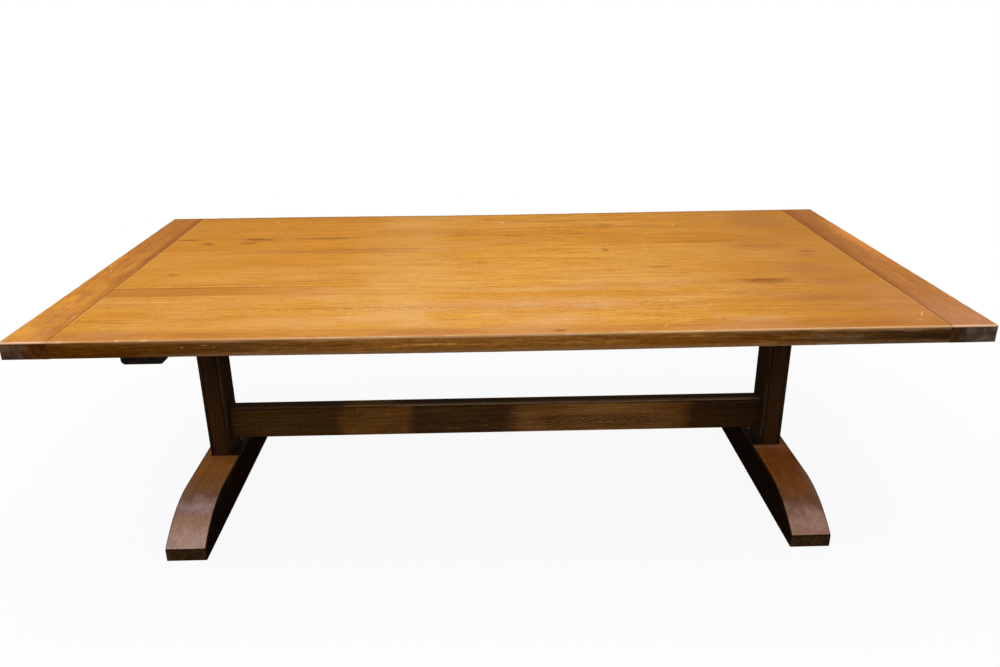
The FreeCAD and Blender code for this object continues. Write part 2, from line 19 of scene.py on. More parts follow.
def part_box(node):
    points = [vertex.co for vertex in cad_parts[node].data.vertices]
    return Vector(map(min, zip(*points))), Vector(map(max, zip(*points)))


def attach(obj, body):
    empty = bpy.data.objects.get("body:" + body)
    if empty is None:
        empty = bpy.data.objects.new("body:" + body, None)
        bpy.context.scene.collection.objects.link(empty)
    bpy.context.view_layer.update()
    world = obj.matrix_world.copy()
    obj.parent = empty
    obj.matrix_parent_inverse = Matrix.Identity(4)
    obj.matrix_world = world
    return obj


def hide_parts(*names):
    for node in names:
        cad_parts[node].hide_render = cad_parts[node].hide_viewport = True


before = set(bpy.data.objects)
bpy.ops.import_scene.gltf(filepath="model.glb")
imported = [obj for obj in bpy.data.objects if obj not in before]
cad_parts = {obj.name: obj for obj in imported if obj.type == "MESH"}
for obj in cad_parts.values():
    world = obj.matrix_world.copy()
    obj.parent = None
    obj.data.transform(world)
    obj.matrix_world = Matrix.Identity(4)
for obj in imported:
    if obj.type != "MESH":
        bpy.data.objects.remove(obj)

scene = bpy.context.scene
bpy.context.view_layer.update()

# %% [markdown]
# ## The camera
#
# A person standing at the middle of the long side looks down on the table. A mild
# wide angle spreads the near corners of the top towards the sides of the view.
# The three angles are a tilt from straight down, a very small roll and a very
# small turn, as when a camera is held by hand.

# %% Set up the camera
CAMERA_PLACE = (-0.04562, -2.52351, 1.50594)
CAMERA_ANGLES = (68.58249, 0.58290, -1.34658)
FOCAL_LENGTH = 30.1233

camera_data = bpy.data.cameras.new("standing_view")
camera_data.lens = FOCAL_LENGTH
camera_data.sensor_width = 36.0
camera = bpy.data.objects.new("standing_view", camera_data)
camera.location = CAMERA_PLACE
camera.rotation_euler = [math.radians(angle) for angle in CAMERA_ANGLES]
scene.collection.objects.link(camera)
scene.camera = camera
scene.view_settings.view_transform = "Standard"
print("camera at", CAMERA_PLACE, "with a", FOCAL_LENGTH, "mm lens")

# %% [markdown]
# ## Colours as they are seen
#
# Shaders work in linear light, while a colour is easier to judge as it looks on a
# screen. With this helper every colour below is written in screen values from 0
# to 255.


# %% Write colours in screen values
def tone(red, green, blue):
    seen = Color((red / 255, green / 255, blue / 255))
    return (*seen.from_srgb_to_scene_linear(), 1.0)


print("honey oak in linear light:", [round(value, 3) for value in tone(213, 146, 65)])

# %% [markdown]
# ## A small kit for nodes
#
# Finishes are made of nodes, and adding them one by one takes many lines. Here
# each call adds a node and gives back what comes out of it, so that a finish
# reads like a recipe. A span changes evenly between two places, a fade softly,
# and a hump rises and falls. Sway moves a value by clouds, which wander about
# 0.5.


# %% Make the node kit
class Recipe:
    def __init__(self, tree):
        self.tree = tree

    def node(self, kind, inputs, **settings):
        made = self.tree.nodes.new("ShaderNode" + kind)
        for name, value in settings.items():
            setattr(made, name, value)
        for key, value in inputs.items():
            if isinstance(value, bpy.types.NodeSocket):
                self.tree.links.new(value, made.inputs[key])
            else:
                made.inputs[key].default_value = value
        return made

    def math(self, operation, first, second=0.0, third=0.0):
        return self.node("Math", {0: first, 1: second, 2: third}, operation=operation).outputs[0]

    def times(self, first, *others):
        for other in others:
            first = self.math("MULTIPLY", first, other)
        return first

    def apart(self, first, second):
        return self.math("ABSOLUTE", self.math("SUBTRACT", first, second))

    def vector(self, operation, first, second):
        return self.node("VectorMath", {0: first, 1: second}, operation=operation).outputs[0]

    def length(self, line):
        return self.node("VectorMath", {0: line}, operation="LENGTH").outputs["Value"]

    def mix(self, share, first, second, how="MIX"):
        return self.node("Mix", {0: share, 6: first, 7: second}, data_type="RGBA", blend_type=how).outputs[2]

    def span(self, value, low, high, at_high=1.0, at_low=0.0, kind="LINEAR"):
        ends = {0: value, 1: low, 2: high, 3: at_low, 4: at_high}
        return self.node("MapRange", ends, interpolation_type=kind).outputs[0]

    def fade(self, value, low, high, at_high=1.0, at_low=0.0):
        return self.span(value, low, high, at_high, at_low, "SMOOTHSTEP")

    def hump(self, value, start, full, last, end):
        return self.times(self.fade(value, start, full), self.fade(value, end, last))

    def sway(self, value, *clouds):
        """Moves a value by (cloud, weight) pairs."""
        for cloud, weight in clouds:
            value = self.math("MULTIPLY_ADD", self.math("SUBTRACT", cloud, 0.5), weight, value)
        return value

    def backdrop_rays(self):
        """1 for the rays that see the backdrop plain white: straight, mirrored or through glass."""
        rays = self.node("LightPath", {}).outputs
        first = self.math("MAXIMUM", rays["Is Camera Ray"], rays["Is Glossy Ray"])
        return self.math("MAXIMUM", first, rays["Is Transmission Ray"])


print("the node kit is ready")

# %% [markdown]
# ## Coats of finish
#
# A coat is one material with its colour as painted so far. Its patterns start
# from Object coordinates. Every piece sits at the origin, so those are places on
# the real table in metres, and wear can be put where it belongs. Paint goes on by
# the product of its shares. Recolouring keeps the light and dark of the grain and
# changes the colour that it has on average.


# %% Make the coats
class Coat(Recipe):
    def __init__(self, name, gloss):
        self.material = bpy.data.materials.new(name)
        self.material.use_nodes = True
        super().__init__(self.material.node_tree)
        self.shader = self.tree.nodes["Principled BSDF"]
        self.shader.inputs["Specular IOR Level"].default_value = gloss
        self.place = self.node("TexCoord", {}).outputs["Object"]
        self.x, self.y, self.z = self.node("SeparateXYZ", {0: self.place}).outputs

    def along_grain(self, direction, seed, place=None):
        turns = {"X": (0, 0, 0), "Y": (0, 0, math.radians(-90)), "Z": (0, math.radians(90), 0)}
        shift = (seed * 3.17, seed * 1.91, seed * 2.63)
        return self.node("Mapping", {0: place or self.place, 1: shift, 2: turns[direction]}).outputs[0]

    def cloud(self, stretch, detail=2.0, roughness=0.5, distortion=0.0, place=None):
        drawn = self.vector("MULTIPLY", place or self.place, stretch)
        return self.node("TexNoise", {"Vector": drawn, "Scale": 1.0, "Detail": detail, "Roughness": roughness,
                                      "Distortion": distortion}).outputs[0]

    def waves(self, distance, wander, reach, per_metre):
        """A sine of the distance, in radians per metre, with its crests bent by a cloud."""
        bent = self.math("MULTIPLY_ADD", wander, reach, distance)
        return self.math("SINE", self.times(bent, per_metre))

    def shades(self, value, stops):
        made = self.node("ValToRGB", {0: value})
        ramp = made.color_ramp
        ramp.elements[0].position, ramp.elements[1].position = stops[0][0], stops[-1][0]
        for at, _ in stops[1:-1]:
            ramp.elements.new(at)
        for element, (_, seen) in zip(ramp.elements, stops):
            element.color = tone(*seen)
        return made.outputs[0]

    def shades_along(self, value, stops):
        low, high = stops[0][0], stops[-1][0]
        shares = [((at - low) / (high - low), seen) for at, seen in stops]
        return self.shades(self.span(value, low, high), shares)

    def paint(self, seen, *shares):
        wanted = seen if isinstance(seen, bpy.types.NodeSocket) else tone(*seen)
        self.colour = self.mix(self.times(*shares), self.colour, wanted)

    def recolour(self, mean, wanted):
        plain = self.mix(1.0, self.colour, tone(*mean), how="DIVIDE")
        self.colour = self.mix(1.0, plain, wanted, how="MULTIPLY")

    def inside(self, middle, half_sizes, turn=(0, 0, 0)):
        """Places on the table as places in an ellipsoid, whose skin lies 1 from its middle."""
        ends = {0: self.place, 1: middle, 2: turn, 3: half_sizes}
        return self.node("Mapping", ends, vector_type="TEXTURE").outputs[0]

    def spot(self, middle, half_sizes, seen, strength):
        self.paint(seen, self.fade(self.length(self.inside(middle, half_sizes)), 1.0, 0.3, strength))

    def finish(self, roughness, height, relief):
        bump = self.node("Bump", {"Strength": relief, "Distance": 0.001, "Height": height}).outputs[0]
        for name, value in {"Base Color": self.colour, "Roughness": roughness, "Normal": bump}.items():
            self.tree.links.new(value, self.shader.inputs[name])
        return self.material


print("coats can be mixed")

# %% [markdown]
# ## Marks and knots
#
# A top used for decades has knots, smudges and rubbed spots, each in its own
# place. No texture knows those places, so they are listed as ellipses, in
# millimetres: the middle, half the length, half the width, a colour, a strength
# and sometimes a turn in degrees. A Mapping node of the TEXTURE kind turns a
# place on the table into a place in the ellipse, with 1 on its rim, and a little
# noise makes the rim uneven.

# %% Draw marks and knots
TOP_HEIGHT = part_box("top_board_1")[1].z
TOP_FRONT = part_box("top_board_1")[0].y
MM = 0.001


def ellipse(coat, x, y, half_length, half_width, turn=0):
    centre, half_sizes = (x * MM, y * MM, TOP_HEIGHT), (half_length * MM, half_width * MM, 0.05)
    return coat.inside(centre, half_sizes, (0, 0, math.radians(turn)))


def draw_marks(coat, marks):
    uneven = coat.cloud((38, 130, 130), 3.0, 0.6)
    for x, y, half_length, half_width, seen, strength, *turn in marks:
        distance = coat.sway(coat.length(ellipse(coat, x, y, half_length, half_width, *turn)), (uneven, 1.1))
        coat.paint(seen, coat.fade(distance, 1.0, 0.15, strength))


def bend_round_knots(coat, knots):
    """The place on the board, moved sideways near each knot, so that the grain flows round it."""
    place = coat.place
    for x, y, half_length, half_width in knots:
        inside = ellipse(coat, x, y, half_length * 1.6, half_width * 2.2)
        pull = coat.fade(coat.length(inside), 1.0, 0.0, -half_width * 1.7 * MM)
        shift = coat.node("VectorMath", {0: inside, "Scale": pull}, operation="SCALE").outputs[0]
        place = coat.vector("ADD", place, coat.vector("MULTIPLY", shift, (0.0, 1.0, 0.0)))
    return place


print("marks are placed at a height of", round(TOP_HEIGHT, 3), "m")

# %% [markdown]
# ## Oak along the grain
#
# Seen along the grain, oak is a stack of streaks at several scales, from bands as
# wide as a hand to pores under a millimetre. One noise texture cannot hold them
# all, so clouds are stretched along the grain by different amounts and added up,
# and the sum picks a colour from a row of shades. Lines, fibres and pores also
# give a slight relief, and pores are a little rougher than the wood between them.

# %% Paint oak along the grain
GRAIN = {  # the stretch, detail, roughness and weight of each cloud
    "bands": ((1.3, 9, 9), 1.0, 0.5, 0.3),
    "streaks": ((1.8, 55, 55), 2.0, 0.6, 0.4),
    "flecks": ((6, 120, 120), 2.0, 0.65, 0.5),
    "lines": ((7, 290, 290), 2.0, 0.6, 0.7),
    "specks": ((60, 170, 170), 2.0, 0.7, 0.45),
    "fibres": ((28, 1100, 1100), 1.0, 0.5, 0.4),
}
RING_WEIGHT = 0.06
PORE_TINT = (0.55, 0.5, 0.45, 1.0)


def oak(name, direction, seed, shades, contrast=1.0, rough=0.42, gloss=0.0, relief=0.12,
        age=None, marks=(), knots=()):
    coat = Coat(name, gloss)
    grain = coat.along_grain(direction, seed, bend_round_knots(coat, knots))
    clouds = {part: coat.cloud(stretch, detail, roughness, place=grain)
              for part, (stretch, detail, roughness, _) in GRAIN.items()}
    from_heart = coat.length(coat.vector("MULTIPLY", grain, (0.02, 1.0, 1.0)))
    waves = coat.waves(from_heart, coat.cloud((1.6, 7, 7), place=grain), 0.09, 900.0)
    rings = coat.math("MULTIPLY_ADD", waves, 0.5, 0.5)
    shares = [(clouds[part], GRAIN[part][3] * contrast) for part in GRAIN]
    coat.colour = coat.shades(coat.sway(0.5, *shares, (rings, RING_WEIGHT * contrast)), shades)
    if age:
        age(coat)
    if marks:
        draw_marks(coat, marks)
    pits = coat.span(coat.cloud((70, 1500, 1500), 0.0, place=grain), 0.62, 0.74)
    coat.paint(coat.mix(1.0, coat.colour, PORE_TINT, how="MULTIPLY"), pits, 0.55)
    dull = coat.span(clouds["streaks"], 0.3, 0.7, rough + 0.06, rough - 0.05)
    dull = coat.math("MULTIPLY_ADD", pits, 0.2, dull)
    height = coat.math("SUBTRACT", coat.math("MULTIPLY_ADD", clouds["lines"], 0.5, clouds["fibres"]), pits)
    return coat.finish(dull, height, relief)


print("oak along the grain has", len(GRAIN), "clouds")

# %% [markdown]
# ## Oak across the grain
#
# The sawn end of a plank shows the growth rings as arcs, and pores as dots. The
# rings are waves of the distance from the heart of the tree, which often lies
# outside the plank, and noise bends them a little. End grain soaks up stain, so
# it is darker than the faces and stays dull.


# %% Paint the end grain
def end_grain(name, direction, heart, shades, gloss=0.005, age=None):
    coat = Coat(name, gloss)
    grain = coat.along_grain(direction, 0)
    across = coat.y if direction == "X" else coat.math("ABSOLUTE", coat.x)
    section = coat.node("CombineXYZ", {0: across, 1: coat.y if direction == "Z" else coat.z}).outputs[0]
    from_heart = coat.length(coat.vector("SUBTRACT", section, (*heart, 0.0)))
    waves = coat.waves(from_heart, coat.cloud((9, 30, 30), place=grain), 0.03, 1100.0)
    rings = coat.math("MULTIPLY_ADD", waves, 0.5, 0.5)
    blotches = coat.cloud((14, 45, 45), 3.0, 0.65, place=grain)
    dots = coat.cloud((300, 900, 900), 1.0, place=grain)
    coat.colour = coat.shades(coat.sway(0.5, (rings, 0.16), (blotches, 1.3), (dots, 0.25)), shades)
    if age:
        age(coat)
    return coat.finish(coat.span(blotches, 0.3, 0.7, 0.68, 0.52), coat.math("ADD", rings, dots), 0.15)


print("end grain is ready")

# %% [markdown]
# ## The shades of the top
#
# All boards of the top have the same golden polish, but each came from another
# part of a tree, so there are several rows of shades, from the darkest streak to
# the lightest. The edges are stained dark brown, and the underside was never
# polished. A mean is the colour that a row has on average.

# %% Choose the shades of the top
HONEY = [(0.1, (170, 92, 14)), (0.38, (210, 139, 46)), (0.62, (227, 161, 64)), (0.9, (243, 188, 96))]
AMBER = [(0.1, (162, 84, 10)), (0.38, (205, 130, 34)), (0.62, (220, 148, 48)), (0.9, (236, 174, 76))]
RUSSET = [(0.1, (156, 82, 16)), (0.38, (205, 130, 44)), (0.62, (222, 152, 60)), (0.9, (238, 180, 92))]
CHESTNUT = [(0.1, (138, 70, 18)), (0.38, (184, 112, 46)), (0.62, (202, 132, 64)), (0.9, (222, 160, 96))]
EDGE_BROWN = [(0.1, (44, 20, 2)), (0.4, (70, 38, 5)), (0.65, (86, 50, 10)), (0.9, (118, 78, 30))]
EDGE_MEAN = (77, 43, 7)
END_BROWN = [(0.1, (40, 24, 16)), (0.4, (68, 52, 44)), (0.65, (90, 74, 66)), (0.9, (116, 98, 88))]
END_MEAN = (78, 62, 54)
RAW_BROWN = [(0.1, (96, 62, 34)), (0.4, (128, 88, 50)), (0.65, (146, 104, 62)), (0.9, (168, 126, 80))]
RAW_MEAN = (137, 95, 55)

DARK_KNOT = (122, 64, 16)
SMUDGE = (168, 98, 34)
PALE_RUB = (240, 198, 140)
JOINT_LINE = (146, 86, 28)
ORANGE = (236, 140, 30)
YELLOW = (240, 166, 58)
BROWN_PINK = (184, 112, 62)
print("the top has", len((HONEY, AMBER, RUSSET, CHESTNUT)), "rows of polished shades")

# %% [markdown]
# ## The marks of the top
#
# Boards are counted from the front. The front one has the rubbed and scratched
# places of a side where people sat, and the fifth a row of dark knots at the
# left. On the end boards the old polish has lasted longest in orange and yellow
# patches.

# %% List the marks and knots
board_marks = {
    1: [(139, -606, 26, 9, DARK_KNOT, 0.75), (-200, -600, 200, 30, (178, 108, 60), 0.5),
        (-740, -600, 130, 30, (186, 114, 46), 0.6), (-980, -590, 130, 35, (200, 138, 88), 0.55),
        (67, -408, 45, 30, (226, 178, 122), 0.35), (228, -435, 30, 20, (228, 180, 124), 0.25),
        (408, -587, 20, 2.5, PALE_RUB, 0.6, 60), (1072, -540, 30, 4, (240, 190, 110), 0.9, 60),
        (1045, -585, 9, 6, PALE_RUB, 0.5), (860, -400, 200, 50, (176, 108, 56), 0.4),
        (100, -400, 500, 75, (236, 178, 128), 0.34), (1050, -500, 100, 260, (218, 150, 104), 0.26),
        (720, -360, 160, 20, (186, 122, 70), 0.4), (930, -600, 120, 12, (184, 112, 36), 0.5)],
    2: [(100, -290, 400, 50, (230, 172, 116), 0.35), (770, -245, 100, 50, (156, 92, 34), 0.65),
        (740, -238, 70, 14, DARK_KNOT, 0.4), (-900, -227.5, 420, 6, JOINT_LINE, 0.8),
        (950, -270, 120, 40, (178, 112, 64), 0.45)],
    3: [(487, -90, 70, 18, SMUDGE, 0.45), (-979, -96, 30, 14, SMUDGE, 0.7),
        (-200, -25, 300, 4, JOINT_LINE, 0.4), (920, -130, 140, 80, (182, 116, 62), 0.5)],
    4: [(353, 108, 16, 22, (158, 84, 22), 0.75), (993, 50, 40, 22, SMUDGE, 0.7),
        (-500, 135, 500, 40, SMUDGE, 0.45), (850, 120, 160, 70, SMUDGE, 0.4),
        (-400, 161.5, 550, 5, JOINT_LINE, 0.7), (980, 0, 80, 60, (178, 112, 60), 0.35)],
    5: [(-1060, 309, 60, 22, DARK_KNOT, 0.6), (-830, 306, 60, 20, DARK_KNOT, 0.7),
        (-800, 296, 90, 30, DARK_KNOT, 0.4, -12), (-843, 254, 50, 26, DARK_KNOT, 0.5, 10),
        (-980, 250, 35, 24, DARK_KNOT, 0.6, -15), (-585, 304, 160, 20, DARK_KNOT, 0.6),
        (-600, 312.5, 550, 5, JOINT_LINE, 0.6)],
    6: [(398, 430, 50, 35, SMUDGE, 0.6), (-807, 543, 28, 5, PALE_RUB, 0.6, -60),
        (26, 501, 20, 10, PALE_RUB, 0.8, 80), (640, 417, 30, 4, PALE_RUB, 0.45, 60),
        (950, 450, 150, 200, (176, 108, 46), 0.4), (-250, 400, 300, 50, SMUDGE, 0.25)],
}
board_knots = {
    1: [(139, -606, 30, 12)],
    2: [(753, -240, 60, 22)],
    3: [(487, -90, 50, 14)],
    4: [(353, 108, 20, 14), (993, 50, 30, 16)],
    5: [(-1067, 305, 40, 20), (-830, 300, 50, 24), (-980, 250, 30, 16)],
    6: [(398, 430, 40, 20)],
}
end_board_marks = {
    "left": [
        (-1206, 86, 16, 45, ORANGE, 0.7), (-1196, -75, 14, 35, ORANGE, 0.6),
        (-1191, -145, 12, 30, ORANGE, 0.5), (-1188, -307, 24, 50, YELLOW, 0.6),
        (-1195, -369, 20, 40, YELLOW, 0.5), (-1192, -552, 30, 50, YELLOW, 0.7),
        (-1128, -129, 14, 90, (170, 96, 34), 0.6), (-1119, 92, 10, 80, (150, 84, 30), 0.6),
        (-1125, -447, 12, 50, BROWN_PINK, 0.6), (-1181, -256, 20, 40, BROWN_PINK, 0.4),
        (-1132, -570, 30, 50, BROWN_PINK, 0.5), (-1206, 9, 7, 10, PALE_RUB, 0.7),
        (-1116, -455, 3, 14, PALE_RUB, 0.7), (-1184, -45, 3, 16, PALE_RUB, 0.6, 20)],
    "right": [
        (1205, 200, 40, 400, (250, 160, 64), 0.6), (1212, 150, 20, 160, ORANGE, 0.4),
        (1212, -150, 14, 120, ORANGE, 0.45), (1215, -430, 10, 50, ORANGE, 0.45),
        (1163, 39, 20, 60, BROWN_PINK, 0.5), (1190, -560, 30, 70, (214, 140, 96), 0.5),
        (1130, -320, 14, 70, BROWN_PINK, 0.4)],
}
print("the long boards have", sum(len(marks) for marks in board_marks.values()), "marks")

# %% [markdown]
# ## How the faces of the top have aged
#
# The polish is paler or browner over whole stretches of the table, so these
# shades are painted by place, and a pale band left of the middle is a painted
# highlight. Pale filler and dark dirt lie along old joints. The cloth stops short
# of the end boards, which have stayed darker beside their joints and are painted
# browner towards the back as painted shade.

# %% Age the faces of the top
FIELD_END = 1.103  # metres from the middle of the table to the joint of an end board


def past_joint(coat):
    return coat.math("SUBTRACT", coat.math("ABSOLUTE", coat.x), FIELD_END)


def age_and_highlight_field(coat):
    """Paler patches, a painted highlight left of the middle, browner back left and right, back-edge grime,
    old filler.
    """
    along = coat.sway(coat.x, (coat.cloud((5, 9, 9)), 0.3))
    haze = coat.cloud((3, 7, 7), 3.0, 0.55)
    yellower = coat.math("MAXIMUM", coat.span(coat.y, -0.45, -0.1), coat.span(coat.x, -0.35, -0.7))
    coat.paint(coat.mix(yellower, tone(234, 176, 122), tone(230, 168, 92)),
               coat.fade(haze, 0.44, 0.66), coat.span(coat.y, -0.5, 0.1, 0.3, 0.48))
    coat.paint((218, 146, 44), coat.fade(haze, 0.5, 0.32, 0.4))
    # painted highlight: a pale band across the top, left of the middle
    coat.paint((238, 186, 112), coat.hump(along, -0.5, -0.32, -0.26, -0.08), 0.3)
    coat.paint((190, 118, 42), coat.fade(along, 0.4, 1.1, 0.6))
    coat.paint((198, 122, 26), coat.fade(along, 0.1, -0.9), coat.fade(coat.y, -0.3, 0.35, 0.5, 0.12))
    coat.paint((220, 150, 0), coat.span(coat.y, -0.25, 0.0, 0.14))
    coat.paint((134, 98, 56), coat.span(coat.y, 0.595, 0.625), coat.span(coat.x, -0.6, 0.7, 0.3, 0.75))
    filler = coat.span(coat.cloud((30, 18, 30), 3.0), 0.35, 0.6, 0.8, 0.2)
    coat.paint((236, 178, 100), coat.hump(past_joint(coat), -0.006, -0.004, -0.0015, -0.0005), filler,
               coat.span(coat.x, -1.0, 1.0, 0.7, 0.8))


def age_narrow_board(coat):
    """The narrow board is a browner one, and the polish hides it towards the right."""
    age_and_highlight_field(coat)
    along = coat.sway(coat.x, (coat.cloud((4, 40, 40)), 0.5))
    coat.paint((186, 112, 30), coat.fade(along, -0.2, -1.0, 0.66, 0.04))


def age_front_board(coat):
    """A row of small dark arches where the saw ran along the heart, and a browner strip at the front."""
    age_and_highlight_field(coat)
    heart = coat.math("MULTIPLY_ADD", coat.cloud((2, 0, 0), 1.0), 0.05, 0.398)
    off = coat.math("ABSOLUTE", coat.math("ADD", coat.y, heart))
    dashes = coat.span(coat.cloud((75, 190, 190), 2.0, 0.6), 0.5, 0.66)
    coat.paint((150, 92, 30), coat.fade(off, 0.02, 0.004), dashes, coat.hump(coat.x, -0.9, -0.6, 0.5, 0.8),
               0.6)
    coat.paint((182, 110, 50), coat.fade(coat.y, -0.54, -0.6, 0.42))


def age_and_shade_end_board(coat):
    """Mottled, dark by the joint, dirty in the right one, browner behind as painted shade, pinkish at the
    front right.
    """
    mottle = coat.cloud((34, 13, 34), 4.0, 0.6)
    calm = coat.span(coat.x, -1.0, 1.0, 0.25, 0.55)
    coat.paint((238, 164, 62), coat.fade(mottle, 0.52, 0.68), calm)
    coat.paint((182, 108, 54), coat.fade(mottle, 0.48, 0.32), calm)
    wavy = coat.sway(past_joint(coat), (coat.cloud((30, 7, 30), 3.0, 0.6), 0.03))
    coat.paint((148, 80, 8), coat.fade(wavy, 0.034, 0.012), coat.span(coat.y, -0.6, 0.3, 0.8, 0.25),
               coat.span(coat.x, -1.0, 1.0, 0.8, 0.9))
    coat.paint((92, 44, 2), coat.span(past_joint(coat), 0.0042, 0.0018), coat.span(coat.x, -1.0, 1.0, 0.85))
    coat.paint((204, 142, 104), coat.fade(coat.y, -0.3, -0.6, 0.5), coat.span(coat.x, -1.0, 1.0, 1.0, 0.2))
    # painted shade: browner towards the back
    coat.paint((166, 94, 12), coat.span(coat.x, 1.145, 1.175, 0.45, 1.0),
               coat.span(coat.y, -0.35, 0.62, 0.66))


print("the joints of the end boards lie", FIELD_END, "m from the middle")

# %% [markdown]
# ## How the edges and the underside have aged
#
# People lean on the middle of the long edge, so its stain is thin there. The end
# grain at the corners has gone grey. Nobody polished the underside, and there the
# six boards still look like six different boards.

# %% Age the edges and the underside
EDGE_TONES = [
    (-1.1, (70, 36, 2)), (-0.96, (73, 38, 3)), (-0.8, (80, 46, 10)), (-0.64, (84, 52, 20)),
    (-0.5, (96, 60, 22)), (-0.3, (112, 70, 24)), (0.0, (113, 70, 24)), (0.16, (114, 72, 25)),
    (0.4, (106, 64, 16)), (0.58, (98, 58, 14)), (0.66, (80, 46, 10)), (0.8, (82, 54, 24)),
    (0.9, (72, 46, 20)), (1.0, (60, 36, 14)), (1.1, (56, 33, 10)),
]
EDGE_DENTS = [(-1.108, 0.744, 0.006, 0.003), (-0.781, 0.741, 0.005, 0.0022), (-0.727, 0.7455, 0.014, 0.0012),
              (-0.705, 0.742, 0.005, 0.0012), (0.79, 0.7195, 0.022, 0.0022)]
UNDER_TONES = [(-0.63, (150, 106, 64)), (-0.3, (118, 80, 46)), (-0.225, (140, 96, 54)),
               (-0.02, (128, 86, 48)), (0.165, (152, 108, 66)), (0.315, (134, 90, 50))]


def age_edge(coat):
    """Rubbed lighter in the middle and along the corners, and smoky at the right."""
    along = coat.sway(coat.x, (coat.cloud((6, 25, 25), 3.0, 0.6), 0.25))
    coat.recolour(EDGE_MEAN, coat.shades_along(along, EDGE_TONES))
    coat.paint((136, 116, 96), coat.fade(coat.cloud((5, 40, 75), 3.0, 0.55), 0.47, 0.68),
               coat.hump(coat.x, 0.5, 0.68, 0.98, 1.1), coat.fade(coat.z, 0.722, 0.748, 0.75, 0.1))
    coat.paint((170, 124, 82), coat.span(coat.cloud((7, 20, 20), 3.0, 0.6), 0.35, 0.65, 1.0, 0.25),
               coat.span(coat.z, 0.7495, 0.7585, 0.85), coat.span(coat.x, -1.1, -0.7, 1.0, 0.3))
    coat.paint((114, 86, 60), coat.span(coat.z, 0.728, 0.7195, 0.5), coat.span(coat.x, -0.9, -0.75))
    for x, z, half_length, half_height in EDGE_DENTS:
        coat.spot((x, TOP_FRONT, z), (half_length, 0.02, half_height), (160, 126, 88), 0.6)


def grey_corner(coat):
    """End grain near the outer corners has lost its stain and gone grey, more of it at the right."""
    reach = coat.math("ADD", coat.math("ABSOLUTE", coat.x), coat.span(coat.x, -1.0, 1.0, 0.018))
    reach = coat.sway(reach, (coat.cloud((30, 30, 30), 3.0, 0.6), 0.04))
    to_right = coat.span(coat.x, -0.5, 0.5)
    greys = coat.mix(to_right, tone(70, 50, 37), tone(73, 59, 48))
    stains = coat.mix(to_right, tone(66, 35, 8), tone(56, 37, 18))
    coat.recolour(END_MEAN, coat.mix(coat.fade(reach, 1.175, 1.14), greys, stains))


def tell_boards_apart(coat):
    """One tone for each board, and a line of old glue at each joint."""
    wanted = coat.shades_along(coat.y, UNDER_TONES)
    wanted.node.color_ramp.interpolation = "CONSTANT"
    coat.recolour(RAW_MEAN, wanted)
    for joint, _ in UNDER_TONES[1:]:
        coat.paint((64, 40, 20), coat.span(coat.apart(coat.y, joint), 0.0022, 0.0012), 0.6)


print("the edge has", len(EDGE_DENTS), "dents")

# %% [markdown]
# ## The worn corner
#
# The upper corner of the top is rubbed to pale, slightly pink wood, more in some
# places than in others. Along the middle of the long side, at its ends and in a
# few spots it is painted near white as painted highlights. Noise runs along the
# edge, and where it is high the old brown stain is left. The same recipe with
# other colours makes the corners of the joints, the feet and the beads.

# %% Mix the worn corner
# places along the front corner and half lengths, in metres, of painted highlights
PAINTED_GLINTS = [(-1.075, 0.01), (-0.934, 0.008), (-0.87, 0.012), (-0.4, 0.03), (0.0, 0.03), (0.08, 0.03),
                (0.16, 0.02)]


def worn_corner(name, direction, seed, worn, stained, left=0.5, age=None):
    coat = Coat(name, 0.01)
    grain = coat.along_grain(direction, seed)
    patches = coat.cloud((9, 120, 120), 4.0, 0.65, place=grain)
    scuffs = coat.cloud((60, 700, 700), place=grain)
    coat.colour = coat.mix(scuffs, tone(*worn), tone(*[value * 0.8 for value in worn]))
    coat.paint(stained, coat.fade(coat.math("MULTIPLY_ADD", scuffs, 0.25, patches), left + 0.02, left + 0.22))
    if age:
        age(coat)
    return coat.finish(coat.span(patches, 0.3, 0.7, 0.6, 0.42), scuffs, 0.2)


def wear_and_glint_corner(coat):
    """Painted highlights along the middle, at the ends and at spots, and the stain fades in below the corner.
    """
    coat.paint((196, 140, 88), coat.span(coat.x, -0.5, -0.7, 0.75), coat.span(coat.x, -1.12, -1.0))
    # painted highlight: near white along the middle of the long side
    coat.paint((255, 224, 172), coat.span(coat.cloud((9, 0, 0), 3.0, 0.65), 0.4, 0.62, 0.9, 0.1),
               coat.hump(coat.x, -0.6, -0.4, 0.4, 0.7))
    # painted highlights at the ends of the corner and at the listed spots
    coat.paint((248, 206, 184), coat.span(coat.math("ABSOLUTE", coat.x), 1.09, 1.12, 0.55))
    for x, half_length in PAINTED_GLINTS:
        coat.spot((x, TOP_FRONT, TOP_HEIGHT), (half_length, 0.02, 0.02), (255, 232, 204), 0.3)
    coat.paint((140, 96, 50), coat.span(coat.y, 0.0, 0.1, 0.6))
    coat.paint((160, 112, 66), coat.span(coat.z, TOP_HEIGHT - 0.0012, TOP_HEIGHT - 0.0028, 0.55))
    coat.paint((128, 86, 46), coat.span(coat.z, TOP_HEIGHT - 0.0028, TOP_HEIGHT - 0.0044, 0.6))


def dirty_joint(coat):
    """Old dirt fills the right joint all along and the left one at the front."""
    dirt = coat.math("MAXIMUM", coat.span(coat.x, -0.5, 0.5), coat.span(coat.y, 0.1, -0.5, 0.8))
    coat.paint((68, 28, 0), dirt, 0.8)


print("the worn corner has", len(PAINTED_GLINTS), "bright spots")

# %% [markdown]
# ## The finishes of the top
#
# Now the recipes become finishes. Each board gets its own seed, so that no two
# have the same grain, and its own contrast: seen from the front, the boards
# further back need stronger streaks to look the same.

